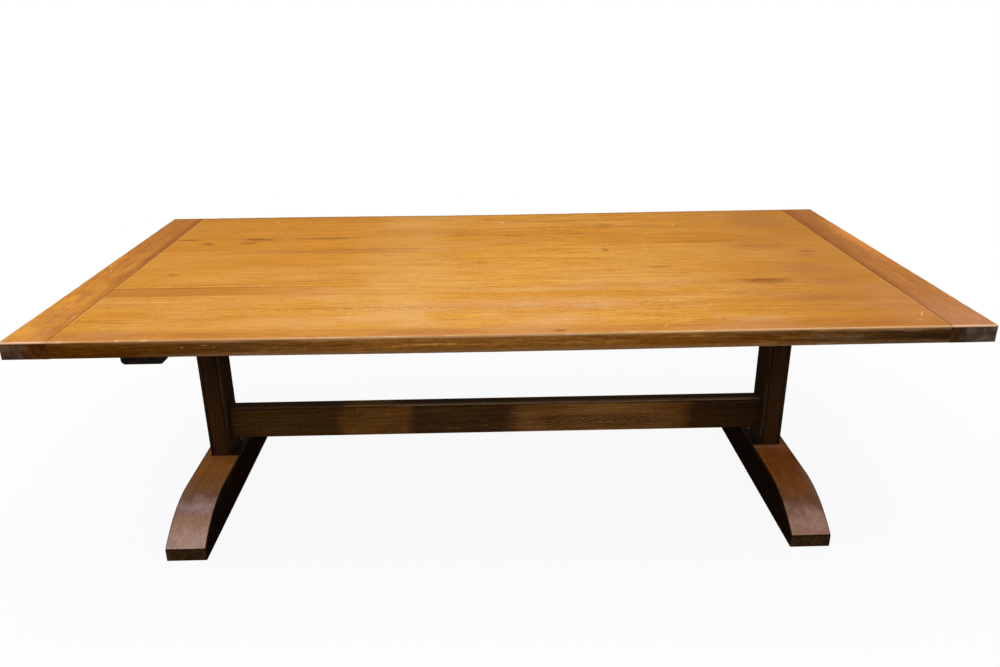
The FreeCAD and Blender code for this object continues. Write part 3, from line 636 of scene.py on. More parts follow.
# %% Mix the finishes of the top
board_ageing = {1: age_front_board, 2: age_narrow_board}
board_contrast = {1: 1.2, 2: 1.2, 3: 1.3, 4: 1.4, 5: 1.7, 6: 2.1}
board_faces = {
    number: oak(f"polished_board_{number}", "X", number, HONEY if number < 5 else AMBER, contrast, gloss=0.01,
                age=board_ageing.get(number, age_and_highlight_field), marks=board_marks[number], knots=board_knots[number])
    for number, contrast in board_contrast.items()
}
end_board_faces = {
    side: oak(f"polished_end_board_{side}", "Y", seed, shades, contrast, gloss=0.01, age=age_and_shade_end_board,
              marks=end_board_marks[side])
    for side, seed, shades, contrast in (("left", 11, RUSSET, 0.9), ("right", 14, CHESTNUT, 0.8))
}
edge_finish = oak("stained_edge", "X", 21, EDGE_BROWN, 1.1, rough=0.5, gloss=0.01, age=age_edge)
side_edge_finish = oak("stained_side_edge", "Y", 22, EDGE_BROWN, 1.3, rough=0.5, gloss=0.01)
board_ends = end_grain("end_grain_of_boards", "X", (0.0, 0.9), END_BROWN)
end_board_ends = end_grain("end_grain_of_end_boards", "Y", (1.19, 0.82), END_BROWN, age=grey_corner)
underside_finish = oak("plain_underside", "X", 25, RAW_BROWN, 1.3, 0.7, 0.02, 0.3, age=tell_boards_apart)
side_underside_finish = oak("plain_side_underside", "Y", 26, RAW_BROWN, 1.0, 0.7, 0.02, 0.3)
top_corner = worn_corner("worn_top_corner_with_painted_highlights", "X", 4, (240, 188, 134), (190, 130, 76), 0.66, wear_and_glint_corner)
side_corner = worn_corner("worn_side_corner", "Y", 6, (224, 170, 122), (168, 104, 52), 0.6)
joint_corner = worn_corner("joint_corner", "Y", 7, (164, 96, 34), (120, 68, 22), 0.4, dirty_joint)
lower_corner = worn_corner("worn_lower_corner", "X", 9, (128, 92, 62), (52, 28, 10), 0.42)
print(len(bpy.data.materials), "finishes after the top")

# %% [markdown]
# ## Shaping planks
#
# A plank starts as a cube stretched to the box of its solid. Long planks are cut
# into short lengths, so that their corners can be worn unevenly. A bevel eases a
# corner and gives its new faces their own material index. Only the eased corners
# are smooth: the flat faces stay flat shaded, so that light does not bend across
# them.

# %% Shape a plank
TINY = 1e-5
AXES = {"X": Vector((1, 0, 0)), "Y": Vector((0, 1, 0)), "Z": Vector((0, 0, 1))}
SIDES = {"left": -1, "right": 1}


def edges_along(shape, axis, **where):
    """Edges that run along an axis and whose middle lies at the given coordinates."""
    found = []
    for edge in shape.edges:
        first, second = (vertex.co for vertex in edge.verts)
        fits = all(abs(getattr((first + second) / 2, name) - value) < TINY for name, value in where.items())
        if fits and abs((second - first).normalized().dot(AXES[axis])) > 0.999:
            found.append(edge)
    return found


def index_faces(shape, **indices):
    """Gives the faces that look along x or y or down the material index for x, y or under."""
    for face in shape.faces:
        looks = {"x": abs(face.normal.x), "y": abs(face.normal.y), "under": -face.normal.z}
        for way, index in indices.items():
            if looks[way] > 0.9:
                face.material_index = index


def plank(low, high, axis="X", cuts=0, **indices):
    shape = bmesh.new()
    bmesh.ops.create_cube(shape, size=1.0)
    bmesh.ops.scale(shape, vec=high - low, verts=shape.verts)
    bmesh.ops.translate(shape, vec=(low + high) / 2, verts=shape.verts)
    if cuts:
        bmesh.ops.subdivide_edges(shape, edges=edges_along(shape, axis), cuts=cuts, use_grid_fill=True)
    index_faces(shape, **indices)
    return shape


def ease(shape, edges, width, segments=3, index=None):
    made = bmesh.ops.bevel(shape, geom=edges, offset=width, offset_type="OFFSET", affect="EDGES",
                           segments=segments, profile=0.5, material=-1, clamp_overlap=False)
    for face in made["faces"]:
        face.smooth = True
        if index is not None:
            face.material_index = index
    return made["faces"]


def wear(shape, faces, depth, length, seed):
    """Presses eased corners in unevenly, along their own normals."""
    shape.normal_update()
    for vertex in {vertex for face in faces for vertex in face.verts}:
        at = vertex.co / length + Vector((seed * 7.3, 0, 0))
        vertex.co -= vertex.normal * depth * max(0.0, noise.noise(at) + 0.25)


def to_object(name, shape, finishes):
    mesh = bpy.data.meshes.new(name)
    shape.to_mesh(mesh)
    shape.free()
    for finish in finishes:
        mesh.materials.append(finish)
    made = bpy.data.objects.new(name, mesh)
    scene.collection.objects.link(made)
    return made


def finish_piece(name, shape, finishes, node):
    bmesh.ops.recalc_face_normals(shape, faces=shape.faces)
    piece = to_object(name, shape, finishes)
    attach(piece, "root")
    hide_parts(node)
    print(name, "has", len(piece.data.polygons), "faces")


# %% [markdown]
# ## The six long boards
#
# The boards are glued edge to edge, and each joint shows as a fine line, because
# the long corners were eased by a hair first. The outer corner of the first and
# the last board is rounder and worn. The joint at the ends opens and closes with
# the seasons, so those corners are eased more. The boards have sunk a little
# between the trestles, so a smooth curve lowers their middle by a few
# millimetres.

# %% Make the long boards
FACE, EDGE, END, UNDER, CORNER, JOINT, OTHER_CORNER = range(7)  # material indices
INNER_CUTS, OUTER_CUTS = 48, 160
WORN_EASE = 0.0044
WORN_DENTS = (0.0007, 0.03)  # how deep and how long, in metres
OUTER_LOWER_EASE = 0.001
OUTER_LOWER_DENTS = (0.0003, 0.05)
GLUED_EASE = 0.0004
LOWER_EASE = 0.0008
JOINT_EASE = 0.001
SAG = 0.0026
SAG_REACH = 0.87

for number, face_finish in board_faces.items():
    node = f"top_board_{number}"
    low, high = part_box(node)
    low.x, high.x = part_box("end_board_left")[1].x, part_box("end_board_right")[0].x
    outer = {1: low.y, 6: high.y}.get(number)
    cuts = INNER_CUTS if outer is None else OUTER_CUTS
    shape = plank(low, high, "X", cuts, y=EDGE, x=END, under=UNDER)
    for side in (low.y, high.y):
        upper_edges = edges_along(shape, "X", y=side, z=high.z)
        lower_edges = edges_along(shape, "X", y=side, z=low.z)
        if side == outer:
            wear(shape, ease(shape, upper_edges, WORN_EASE, 4, CORNER), *WORN_DENTS, seed=number)
            eased = ease(shape, lower_edges, OUTER_LOWER_EASE, 2, OTHER_CORNER)
            wear(shape, eased, *OUTER_LOWER_DENTS, seed=number + 20)
        else:
            ease(shape, upper_edges, GLUED_EASE, 1, FACE)
            ease(shape, lower_edges, LOWER_EASE, 1, UNDER)
    for end in (low.x, high.x):
        ease(shape, edges_along(shape, "Y", x=end, z=high.z), JOINT_EASE, 2, JOINT)
    for vertex in shape.verts:
        vertex.co.z -= SAG * (1 - min(abs(vertex.co.x) / SAG_REACH, 1.0) ** 2) ** 2
    finishes = [face_finish, edge_finish, board_ends, underside_finish, top_corner, joint_corner,
                lower_corner]
    finish_piece(f"long_board_{number}", shape, finishes, node)

# %% [markdown]
# ## The two end boards
#
# An end board crosses the ends of the long boards, keeps the top flat and hides
# the sawn ends. Its own grain runs from front to back, so its short ends show end
# grain. Its upper and upright outer corners are eased in one go, so that the
# three roundings meet cleanly.

# %% Make the end boards
END_CUTS = 110
END_DENTS = (0.0008, 0.03)
END_LOWER_EASE = 0.0045
END_LOWER_DENTS = (0.0006, 0.05)
SHORT_SIDE = 0.0048  # metres of the board's length that its rounding takes, and a little more
UPRIGHT_CORNER = 0.006  # metres of its width that the upright corner takes, and a little more

for side, seed in (("left", 31), ("right", 37)):
    node = f"end_board_{side}"
    low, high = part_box(node)
    outer, inner = (low.x, high.x) if side == "left" else (high.x, low.x)
    shape = plank(low, high, "Y", END_CUTS, x=EDGE, y=END, under=UNDER)
    rim = edges_along(shape, "Y", x=outer, z=high.z)
    for end in (low.y, high.y):
        rim += edges_along(shape, "Z", x=outer, y=end) + edges_along(shape, "X", y=end, z=high.z)
    worn = ease(shape, rim, WORN_EASE, 4, CORNER)
    for face in worn:
        middle = face.calc_center_median()
        if abs(middle.y) > high.y - SHORT_SIDE and abs(middle.x) < abs(outer) - UPRIGHT_CORNER:
            face.material_index = OTHER_CORNER
        if abs(face.normal.z) < 0.2 and min(abs(face.normal.x), abs(face.normal.y)) > 0.05:
            face.material_index = EDGE
    wear(shape, worn, *END_DENTS, seed)
    lower_edges = edges_along(shape, "Y", x=outer, z=low.z) + edges_along(shape, "X", y=low.y, z=low.z)
    wear(shape, ease(shape, lower_edges, END_LOWER_EASE, 3, EDGE), *END_LOWER_DENTS, seed=41)
    ease(shape, edges_along(shape, "Y", x=inner, z=high.z), JOINT_EASE, 2, JOINT)
    finishes = [end_board_faces[side], side_edge_finish, end_board_ends, side_underside_finish, side_corner,
                joint_corner, top_corner]
    finish_piece(f"cross_board_{side}", shape, finishes, node)

# %% [markdown]
# ## The shades of the trestles
#
# Posts, stretcher, feet and bearers were stained almost black-brown and waxed.
# Shoes have rubbed the feet back to brown near the posts. Towards the toes the
# tones turn greyish pink, partly rubbed wood and partly a painted reflection of
# the wax's sheen, and they are listed by the distance from the middle of a foot.
# The sides of the feet are darkened further as painted shade. The stretcher took
# the stain unevenly, and its tones are listed along its length.

# %% Choose the shades of the trestles
POST_DARK = [(0.1, (22, 12, 5)), (0.4, (38, 24, 12)), (0.65, (48, 31, 16)), (0.9, (76, 52, 30))]
BEARER_DARK = [(0.1, (16, 9, 6)), (0.4, (28, 19, 12)), (0.65, (38, 27, 18)), (0.9, (58, 42, 30))]
STRETCHER_DARK = [(0.1, (36, 20, 6)), (0.4, (56, 34, 12)), (0.65, (70, 45, 19)), (0.9, (108, 74, 38))]
STRETCHER_MEAN = (62, 38, 15)
FOOT_BROWN = [(0.1, (104, 60, 22)), (0.4, (140, 88, 38)), (0.65, (156, 102, 48)), (0.9, (182, 128, 72))]
FOOT_MEAN = (146, 94, 42)
# dark stain on the sides of the feet, darkened further as painted shade
FOOT_SIDE = [(0.1, (14, 8, 4)), (0.4, (24, 15, 8)), (0.65, (32, 21, 12)), (0.9, (50, 36, 24))]
FOOT_END = [(0.1, (28, 17, 8)), (0.45, (46, 30, 15)), (0.9, (74, 54, 36))]
DARK_END = [(0.1, (16, 9, 5)), (0.45, (30, 19, 11)), (0.9, (58, 42, 30))]
BEARER_END = [(0.1, (14, 10, 7)), (0.45, (24, 19, 15)), (0.9, (40, 34, 28))]
PEG_END = [(0.1, (60, 34, 16)), (0.45, (98, 62, 34)), (0.9, (148, 106, 66))]
# rubbed brown near the post; towards the toe pink-grey, partly rubbed and partly painted sheen
LEFT_FOOT_WEAR_AND_SHEEN = [
    (0.0, (150, 96, 44)), (0.14, (158, 103, 47)), (0.2, (152, 102, 54)), (0.26, (140, 98, 62)),
    (0.29, (136, 98, 76)), (0.315, (156, 128, 116)), (0.34, (176, 148, 138)), (0.358, (156, 124, 108)),
    (0.385, (168, 128, 104)), (0.42, (178, 144, 128)), (0.464, (184, 152, 138)),
]
RIGHT_FOOT_WEAR_AND_SHEEN = [
    (0.0, (132, 84, 38)), (0.056, (134, 84, 40)), (0.066, (158, 108, 72)), (0.085, (140, 80, 34)),
    (0.14, (132, 70, 22)), (0.22, (134, 77, 30)), (0.31, (136, 83, 40)), (0.352, (122, 80, 52)),
    (0.376, (128, 92, 74)), (0.405, (160, 124, 106)), (0.43, (168, 134, 118)), (0.464, (158, 118, 96)),
]
STRETCHER_TONES = [
    (-0.9, (54, 33, 13)), (-0.79, (62, 39, 17)), (-0.62, (59, 37, 16)), (-0.545, (60, 38, 17)),
    (-0.515, (88, 56, 23)), (-0.4, (94, 60, 26)), (-0.31, (90, 57, 25)), (-0.28, (56, 36, 20)),
    (-0.17, (66, 43, 22)), (0.02, (60, 37, 20)), (0.075, (96, 62, 30)), (0.33, (112, 74, 38)),
    (0.5, (102, 66, 32)), (0.61, (82, 49, 22)), (0.65, (50, 30, 14)), (0.9, (42, 25, 12)),
]
print("the stretcher changes its tone at", len(STRETCHER_TONES), "places")

# %% [markdown]
# ## How the trestles have aged
#
# Beside and behind the post, under the stretcher, the top of a foot is darkened
# as painted shade. The saw opened arches of grain in the right half of the
# stretcher and a small swirl in its left. Mops and boots have warmed the lower
# part of the posts, and their inner faces are darkened as painted shade. Each is
# painted in its place.

# %% Age the trestles
POST_INNER_REACH = 0.883  # metres from the middle of the stretcher to the inner face of a post
STRETCHER_MIDDLE = -0.011
STRETCHER_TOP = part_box("stretcher")[1].z
BARE_STRETCH = (-0.53, -0.5, -0.37, -0.34)
ARCH_HEIGHT = 0.2


def paint_foot_wear_and_light(tones, post_face, outer_face, inwards):
    """Rubbed brown by the post; pink-grey toe and outer edge partly painted sheen; painted shade behind the
    post.
    """
    def age(coat):
        reach = coat.math("ABSOLUTE", coat.y)
        swing = coat.span(reach, 0.07, 0.2, 0.09)
        wavy = coat.sway(reach, (coat.cloud((30, 16, 30), 3.0, 0.6), swing))
        coat.recolour(FOOT_MEAN, coat.shades_along(wavy, tones))
        patches = coat.cloud((22, 22, 22), 4.0, 0.65)
        coat.paint((178, 142, 110), coat.fade(patches, 0.5, 0.66, 0.12))
        coat.paint((98, 62, 34), coat.fade(patches, 0.46, 0.3, 0.3))
        # painted sheen: pink-grey along the outer edge where the curve begins to fall
        rim = coat.fade(coat.apart(coat.x, outer_face), 0.034, 0.004)
        coat.paint((146, 114, 98), rim, coat.hump(reach, 0.14, 0.24, 0.32, 0.38), 0.5)
        # painted shade: dark on the top of the foot beside and behind the post, under the stretcher
        behind = coat.span(coat.x, post_face - 0.003 * inwards, post_face)
        coat.paint((20, 11, 6), behind, coat.hump(coat.y, -0.062, -0.05, 0.2, 0.36), 0.95)
        coat.spot((post_face + 0.005 * inwards, 0.059, 0.118), (0.005, 0.014, 0.01), (120, 98, 86), 0.35)
    return age


def age_stretcher(coat):
    """Uneven stain, arches at the right, a swirl at the left, and a dusty upper face."""
    along = coat.sway(coat.x, (coat.cloud((5, 30, 30), 3.0), 0.05))
    coat.recolour(STRETCHER_MEAN, coat.shades_along(along, STRETCHER_TONES))
    off = coat.apart(coat.z, ARCH_HEIGHT)
    bent = coat.math("MULTIPLY_ADD", off, -5.0, coat.x)
    arches = coat.waves(bent, coat.cloud((9, 26, 26), 3.0, 0.6), 0.075, 170.0)
    coat.paint((36, 21, 9), coat.span(arches, 0.2, 0.9), coat.fade(off, 0.034, 0.014),
               coat.hump(coat.x, 0.1, 0.18, 0.42, 0.56))
    coat.spot((0.51, -0.019, ARCH_HEIGHT), (0.1, 0.01, 0.016), (66, 50, 38), 0.4)
    from_knot = coat.vector("SUBTRACT", coat.place, (-0.495, -0.019, 0.245))
    distance = coat.length(coat.vector("MULTIPLY", from_knot, (0.7, 0, 1)))
    swirl = coat.waves(distance, coat.cloud((60, 60, 60)), 0.022, 620.0)
    coat.paint((52, 32, 13), coat.span(swirl, -0.3, 0.8), coat.fade(distance, 0.032, 0.012), 0.7)
    figure = coat.cloud((28, 60, 70), 3.0, 0.6, 1.2)
    coat.paint((38, 21, 10), coat.hump(coat.x, -0.27, -0.2, -0.02, 0.06), coat.span(figure, 0.5, 0.62), 0.5)
    dust = coat.mix(coat.hump(coat.x, *BARE_STRETCH), tone(64, 51, 39), tone(98, 72, 46))
    coat.paint(dust, coat.span(coat.z, STRETCHER_TOP - 0.0006, STRETCHER_TOP - 0.0002, 0.85))


def shade_and_highlight_bead(coat):
    """The upper half of the stretcher's bead is painted shade, the lower half a pale painted highlight, its
    left third darker.
    """
    # painted shade over the upper half of the bead; the pale lower half is a painted highlight
    coat.paint((62, 48, 36), coat.span(coat.z, STRETCHER_TOP - 0.0068, STRETCHER_TOP - 0.0052, 0.85))
    coat.paint((52, 38, 27), coat.span(coat.x, -0.33, -0.42, 0.9))
    coat.paint((92, 64, 38), coat.hump(coat.x, *BARE_STRETCH))


def warm_and_shade_post(coat):
    """Warmer low down, and darkened grey-black as painted shade on the face that looks under the table."""
    coat.paint((58, 32, 15), coat.fade(coat.z, 0.48, 0.2, 0.45))
    # painted shade on the inner face, which looks under the table
    reach = coat.apart(coat.x, STRETCHER_MIDDLE)
    coat.paint((42, 34, 24), coat.span(reach, POST_INNER_REACH + 0.0012, POST_INNER_REACH + 0.0006, 0.75))


print("the upper face of the stretcher lies at", round(STRETCHER_TOP, 4), "m")

# %% [markdown]
# ## The finishes of the trestles
#
# Waxed wood in the shade hardly shines, so most of these finishes have no gloss.
# Each foot has its own finish for the top, because shoes have rubbed the two
# differently and their painted sheen and shade lie in different places.

# %% Mix the finishes of the trestles
post_finish = oak("waxed_post", "Z", 51, POST_DARK, rough=0.4, age=warm_and_shade_post)
stretcher_finish = oak("waxed_stretcher", "X", 53, STRETCHER_DARK, rough=0.4, age=age_stretcher)
bearer_finish = oak("waxed_bearer", "Y", 55, BEARER_DARK, rough=0.5)
foot_top_finishes = {
    side: oak(f"worn_foot_top_with_painted_light_{side}", "Y", seed, FOOT_BROWN, 0.8, 0.55, 0.008, 0.02, age=paint_foot_wear_and_light(
        tones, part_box(f"post_{side}")[inner].x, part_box(f"foot_{side}")[1 - inner].x, inwards))
    for side, seed, tones, inner, inwards in (("left", 57, LEFT_FOOT_WEAR_AND_SHEEN, 1, 1), ("right", 58, RIGHT_FOOT_WEAR_AND_SHEEN, 0, -1))
}
foot_side_finish = oak("waxed_foot_side", "Y", 59, FOOT_SIDE, rough=0.5)
foot_end_finish = end_grain("end_grain_of_feet", "Y", (0.92, 0.16), FOOT_END, 0.0)
dark_end_finish = end_grain("end_grain_of_trestles", "Z", (0.92, 0.01), DARK_END, 0.0)
bearer_end_finish = end_grain("end_grain_of_bearers", "Y", (0.93, 0.6), BEARER_END, 0.0)
peg_finishes = {axis: end_grain(f"peg_end_{axis}", axis, (0.0, 0.0), PEG_END) for axis in ("X", "Z")}
foot_corner = worn_corner("worn_foot_corner", "Y", 10, (112, 74, 42), (36, 22, 11), 0.35)
# the lighter tone of the post's bead is a painted highlight on its round
post_bead = worn_corner("post_bead_with_painted_highlight", "Z", 16, (62, 43, 27), (34, 21, 11))
# the pale part of the stretcher's bead is a painted highlight, its upper half painted shade
stretcher_bead = worn_corner("stretcher_bead_with_painted_light", "X", 17, (140, 112, 82), (84, 62, 42), 0.6, shade_and_highlight_bead)
print(len(bpy.data.materials), "finishes after the trestles")

# %% [markdown]
# ## Cross-sections
#
# Feet, posts and the stretcher keep one cross-section. Its outline is drawn as
# loose edges, with arcs made by spinning one point, then filled and pushed out.
# Half or a quarter of the outline is enough where the rest is its mirror image.

# %% Draw and push out a cross-section
def everything(shape):
    return shape.verts[:] + shape.edges[:] + shape.faces[:]


def vertices_in(made):
    return [item for item in made if isinstance(item, bmesh.types.BMVert)]


def arc(shape, start, centre, axis, angle, steps):
    made = bmesh.ops.spin(shape, geom=[start], cent=centre, axis=axis, dvec=(0, 0, 0), angle=angle,
                          steps=steps, use_merge=False, use_duplicate=False)
    return vertices_in(made["geom_last"])[0]


def join_up(shape, points):
    for first, second in zip(points, points[1:]):
        shape.edges.new((first, second))


def mirror_all(shape, axis):
    bmesh.ops.mirror(shape, geom=everything(shape), axis=axis, merge_dist=TINY)
    bmesh.ops.remove_doubles(shape, verts=shape.verts, dist=TINY)


def push_out(shape, reach):
    section = bmesh.ops.contextual_create(shape, geom=shape.edges[:])["faces"]
    pushed = bmesh.ops.extrude_face_region(shape, geom=section, use_keep_orig=True)
    bmesh.ops.translate(shape, vec=reach, verts=vertices_in(pushed["geom"]))


print("cross-sections can be pushed out")

# %% [markdown]
# ## The sledge feet
#
# A foot is one block of oak, level under the post and sawn to an arc towards each
# toe. Straight edges and one spun arc outline its back half, which is pushed out
# to the foot's width and mirrored to the front.

# %% Make the feet
FLAT_HALF = 0.230
TOE_HEIGHT = 0.039
ARC_STEPS = 20
FOOT_EASE = 0.003
SHARP = 0.5  # radians between two faces
FOOT_SIDE_INDEX, FOOT_END_INDEX, FOOT_CORNER_INDEX = 1, 2, 3


def foot_shape(low, high):
    run, drop = high.y - FLAT_HALF, high.z - TOE_HEIGHT
    radius = (run ** 2 + drop ** 2) / (2 * drop)
    shape = bmesh.new()
    start = shape.verts.new((low.x, FLAT_HALF, high.z))
    centre = (low.x, FLAT_HALF, high.z - radius)
    toe = arc(shape, start, centre, (1, 0, 0), -math.asin(run / radius), ARC_STEPS)
    sole = [shape.verts.new((low.x, y, z)) for y, z in ((0, high.z), (0, low.z), (high.y, low.z))]
    join_up(shape, [start, *sole, toe])
    push_out(shape, (high.x - low.x, 0, 0))
    middle = [face for face in shape.faces if all(abs(vertex.co.y) < TINY for vertex in face.verts)]
    bmesh.ops.delete(shape, geom=middle, context="FACES_ONLY")
    mirror_all(shape, "Y")
    bmesh.ops.recalc_face_normals(shape, faces=shape.faces)
    return shape


for side in SIDES:
    node = f"foot_{side}"
    shape = foot_shape(*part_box(node))
    index_faces(shape, x=FOOT_SIDE_INDEX, y=FOOT_END_INDEX, under=FOOT_SIDE_INDEX)
    for face in shape.faces:
        face.smooth = 0.5 < face.normal.z < 0.9999
    shape.normal_update()
    sharp = [edge for edge in shape.edges if len(edge.link_faces) == 2 and edge.calc_face_angle() > SHARP]
    ease(shape, sharp, FOOT_EASE, index=FOOT_CORNER_INDEX)
    finishes = [foot_top_finishes[side], foot_side_finish, foot_end_finish, foot_corner]
    finish_piece(f"sledge_foot_{side}", shape, finishes, node)

# %% [markdown]
# ## Beads
#
# The upright corners of the posts and the upper corners of the stretcher carry a
# bead: a half round beside a narrow groove, or quirk. A plane with a shaped iron
# cut it along the whole piece. Drawing one corner of the section is enough, and
# the loose ends of its mirror images are joined straight across.

# %% Draw a beaded section
BEAD_RADIUS = 0.005
QUIRK_WIDTH = 0.0025
BEAD_STEPS = 10
END_WOOD, BEAD_WOOD = 1, 2  # material indices of posts, stretcher and bearers


def beaded_corner(shape, half_x, half_y):
    """From the side face round the bead and the quirk to the middle of the flat face, its result."""
    bead_y = half_y - BEAD_RADIUS
    quirk_x = half_x - 2 * BEAD_RADIUS - QUIRK_WIDTH
    start = shape.verts.new((half_x, bead_y, 0))
    inner = arc(shape, start, (half_x - BEAD_RADIUS, bead_y, 0), (0, 0, 1), math.pi, BEAD_STEPS)
    path = [shape.verts.new((x, y, 0)) for x, y in ((quirk_x, bead_y), (quirk_x, half_y), (0, half_y))]
    join_up(shape, [inner, *path])
    return path[-1]


def join_tips(shape):
    tips = sorted((vertex for vertex in shape.verts if len(vertex.link_edges) == 1), key=lambda tip: tip.co.x)
    join_up(shape, tips[:2])
    join_up(shape, tips[2:])


def finish_beads(shape):
    """The round faces of the beads are smooth and get the bead finish, with its painted highlight and shade.
    """
    bmesh.ops.recalc_face_normals(shape, faces=shape.faces)
    for face in shape.faces:
        if max(abs(value) for value in face.normal) < 0.99:
            face.smooth = True
            face.material_index = BEAD_WOOD


print("a bead is", BEAD_RADIUS * 2000, "mm wide")

# %% [markdown]
# ## Round recesses
#
# The bolts and screws sit in round recesses. Four cuts frame a small square on
# the flat face. The square is taken out, its rim is split into as many edges as
# the circle has, and the ring between rim and circle is bridged. The circle is
# then pushed inwards and closed with a floor.

# %% Sink a recess
RECESS_STEPS = 16


def sink(shape, middle, inward, radius, depth):
    middle, inward = Vector(middle), Vector(inward)
    for axis in (axis for axis in AXES.values() if abs(axis.dot(inward)) < 0.5):
        for side in (-1.5, 1.5):
            bmesh.ops.bisect_plane(shape, geom=everything(shape), dist=1e-6,
                                   plane_co=middle + axis * side * radius, plane_no=axis)
    patch = min(shape.faces, key=lambda face: (face.calc_center_median() - middle).length)
    rim = patch.edges[:]
    bmesh.ops.delete(shape, geom=[patch], context="FACES_ONLY")
    bmesh.ops.subdivide_edges(shape, edges=rim, cuts=RECESS_STEPS // 4 - 1)
    rim = [edge for edge in shape.edges if edge.is_boundary]
    turn = inward.to_track_quat("Z", "Y").to_matrix().to_4x4()
    circle = bmesh.ops.create_circle(shape, segments=RECESS_STEPS, radius=radius,
                                     matrix=Matrix.Translation(middle) @ turn)["verts"]
    ring = list({edge for vertex in circle for edge in vertex.link_edges})
    bmesh.ops.bridge_loops(shape, edges=rim + ring)
    walls = bmesh.ops.extrude_edge_only(shape, edges=ring)["geom"]
    bmesh.ops.translate(shape, vec=inward * depth, verts=vertices_in(walls))
    bottom = [item for item in walls if isinstance(item, bmesh.types.BMEdge) and item.is_boundary]
    floor = bmesh.ops.contextual_create(shape, geom=bottom)["faces"]
    for face in floor + [item for item in walls if isinstance(item, bmesh.types.BMFace)]:
        face.material_index = END_WOOD


print("recesses have", RECESS_STEPS, "sides")

# %% [markdown]
# ## The posts
#
# A post is the beaded section pushed up from the foot to the bearer. On its outer
# face is the recess for the bolt that pulls the stretcher tight.

# %% Make the posts
POST_HALF_X, POST_HALF_Y = 0.035, 0.055
BOLT_HEIGHT = 0.2225
BOLT_RECESS = (0.015, 0.018)

for side, outward in SIDES.items():
    node = f"post_{side}"
    foot_top, bearer_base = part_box(f"foot_{side}")[1].z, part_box(f"bearer_{side}")[0].z
    low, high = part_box(node)
    middle_x = (low.x + high.x) / 2
    shape = bmesh.new()
    beaded_corner(shape, POST_HALF_X, POST_HALF_Y)
    mirror_all(shape, "X")
    mirror_all(shape, "Y")
    join_tips(shape)
    push_out(shape, (0, 0, bearer_base - foot_top))
    bmesh.ops.translate(shape, vec=(middle_x, 0, foot_top), verts=shape.verts)
    finish_beads(shape)
    sink(shape, (middle_x + outward * POST_HALF_X, 0, BOLT_HEIGHT), (-outward, 0, 0), *BOLT_RECESS)
    finishes = [post_finish, dark_end_finish, post_bead]
    finish_piece(f"beaded_post_{side}", shape, finishes, node)

# %% [markdown]
# ## The stretcher
#
# The stretcher is a plank on edge with a bead along both upper corners. Its
# section is drawn flat, pushed out from shoulder to shoulder and turned up. Two
# round holes in its back show the barrel nuts that the bolts screw into.

# %% Make the stretcher
HALF_THICKNESS = 0.019
STRETCHER_EASE = 0.0025
NUT_PLACES = (-0.834, 0.812)
NUT_RECESS = (0.0084, 0.006)

low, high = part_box("stretcher")
half_depth = (high.z - low.z) / 2
left_shoulder, right_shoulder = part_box("post_left")[1].x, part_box("post_right")[0].x
shape = bmesh.new()
join_up(shape, [beaded_corner(shape, half_depth, HALF_THICKNESS),
                shape.verts.new((-half_depth, HALF_THICKNESS, 0))])
mirror_all(shape, "Y")
join_tips(shape)
push_out(shape, (0, 0, right_shoulder - left_shoulder))
bmesh.ops.rotate(shape, cent=(0, 0, 0), matrix=Matrix.Rotation(math.radians(-90), 3, "Y"), verts=shape.verts)
bmesh.ops.translate(shape, vec=(right_shoulder, 0, low.z + half_depth), verts=shape.verts)
finish_beads(shape)
ease(shape, edges_along(shape, "X", z=low.z), STRETCHER_EASE)
for nut_x in NUT_PLACES:
    sink(shape, (nut_x, HALF_THICKNESS, BOLT_HEIGHT), (0, -1, 0), *NUT_RECESS)
finish_piece("beaded_stretcher", shape, [stretcher_finish, dark_end_finish, stretcher_bead], "stretcher")

# %% [markdown]
# ## The bearers
#
# A bearer crosses under the top on each post and carries the boards. Its lower
# corners are rounded so that nobody catches a knee, and screws go up through deep
# recesses into the boards.

# %% Make the bearers
KNEE_ROUNDING = 0.012
BEARER_EASE = 0.002
SCREW_RECESS = (0.011, 0.028)
SCREW_PLACES = (-0.370, -0.2625, -0.1225, 0.0725, 0.240, 0.385)


def on_end(vertex, low, high):
    return min(abs(vertex.co.y - low.y), abs(vertex.co.y - high.y)) < TINY and vertex.co.z < high.z - TINY


for side in SIDES:
    node = f"bearer_{side}"
    low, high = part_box(node)
    shape = plank(low, high, y=END_WOOD)
    ease(shape, edges_along(shape, "Y", z=low.z), KNEE_ROUNDING, 5)
    ends = [edge for edge in shape.edges if all(on_end(vertex, low, high) for vertex in edge.verts)]
    ease(shape, ends, BEARER_EASE, 2, END_WOOD)
    for y in SCREW_PLACES:
        sink(shape, ((low.x + high.x) / 2, y, low.z), (0, 0, 1), *SCREW_RECESS)
    finish_piece(f"top_bearer_{side}", shape, [bearer_finish, bearer_end_finish], node)

# %% [markdown]
# ## Pegs
#
# Cleft pegs lock the tenons. They were driven in and pared off, and because they
# shrink less along their length than the wood round them, their heads stand a
# hair proud. Each is an eight-sided rod with an eased head.

# %% Make the pegs
PROUD = 0.0006
TAPER = 0.94
HEAD_EASE = 0.0009
PEG_RADIUS, END_PEG_RADIUS = 0.006, 0.005
PEG_HEIGHTS = {"foot": 0.083, "bearer": 0.672}
PEG_PLACES = (-0.018, 0.018)
END_PEG_PLACES = (-0.465, -0.2625, -0.1225, 0.0725, 0.240, 0.4725)

peg_groups = []
for side, outward in SIDES.items():
    for kind, height in PEG_HEIGHTS.items():
        places = [(height, y) for y in PEG_PLACES]
        peg_groups.append((f"{kind}_pegs_{side}", "X", outward, PEG_RADIUS, places))
    places = [(None, y) for y in END_PEG_PLACES]
    peg_groups.append((f"end_board_pegs_{side}", "Z", -1, END_PEG_RADIUS, places))

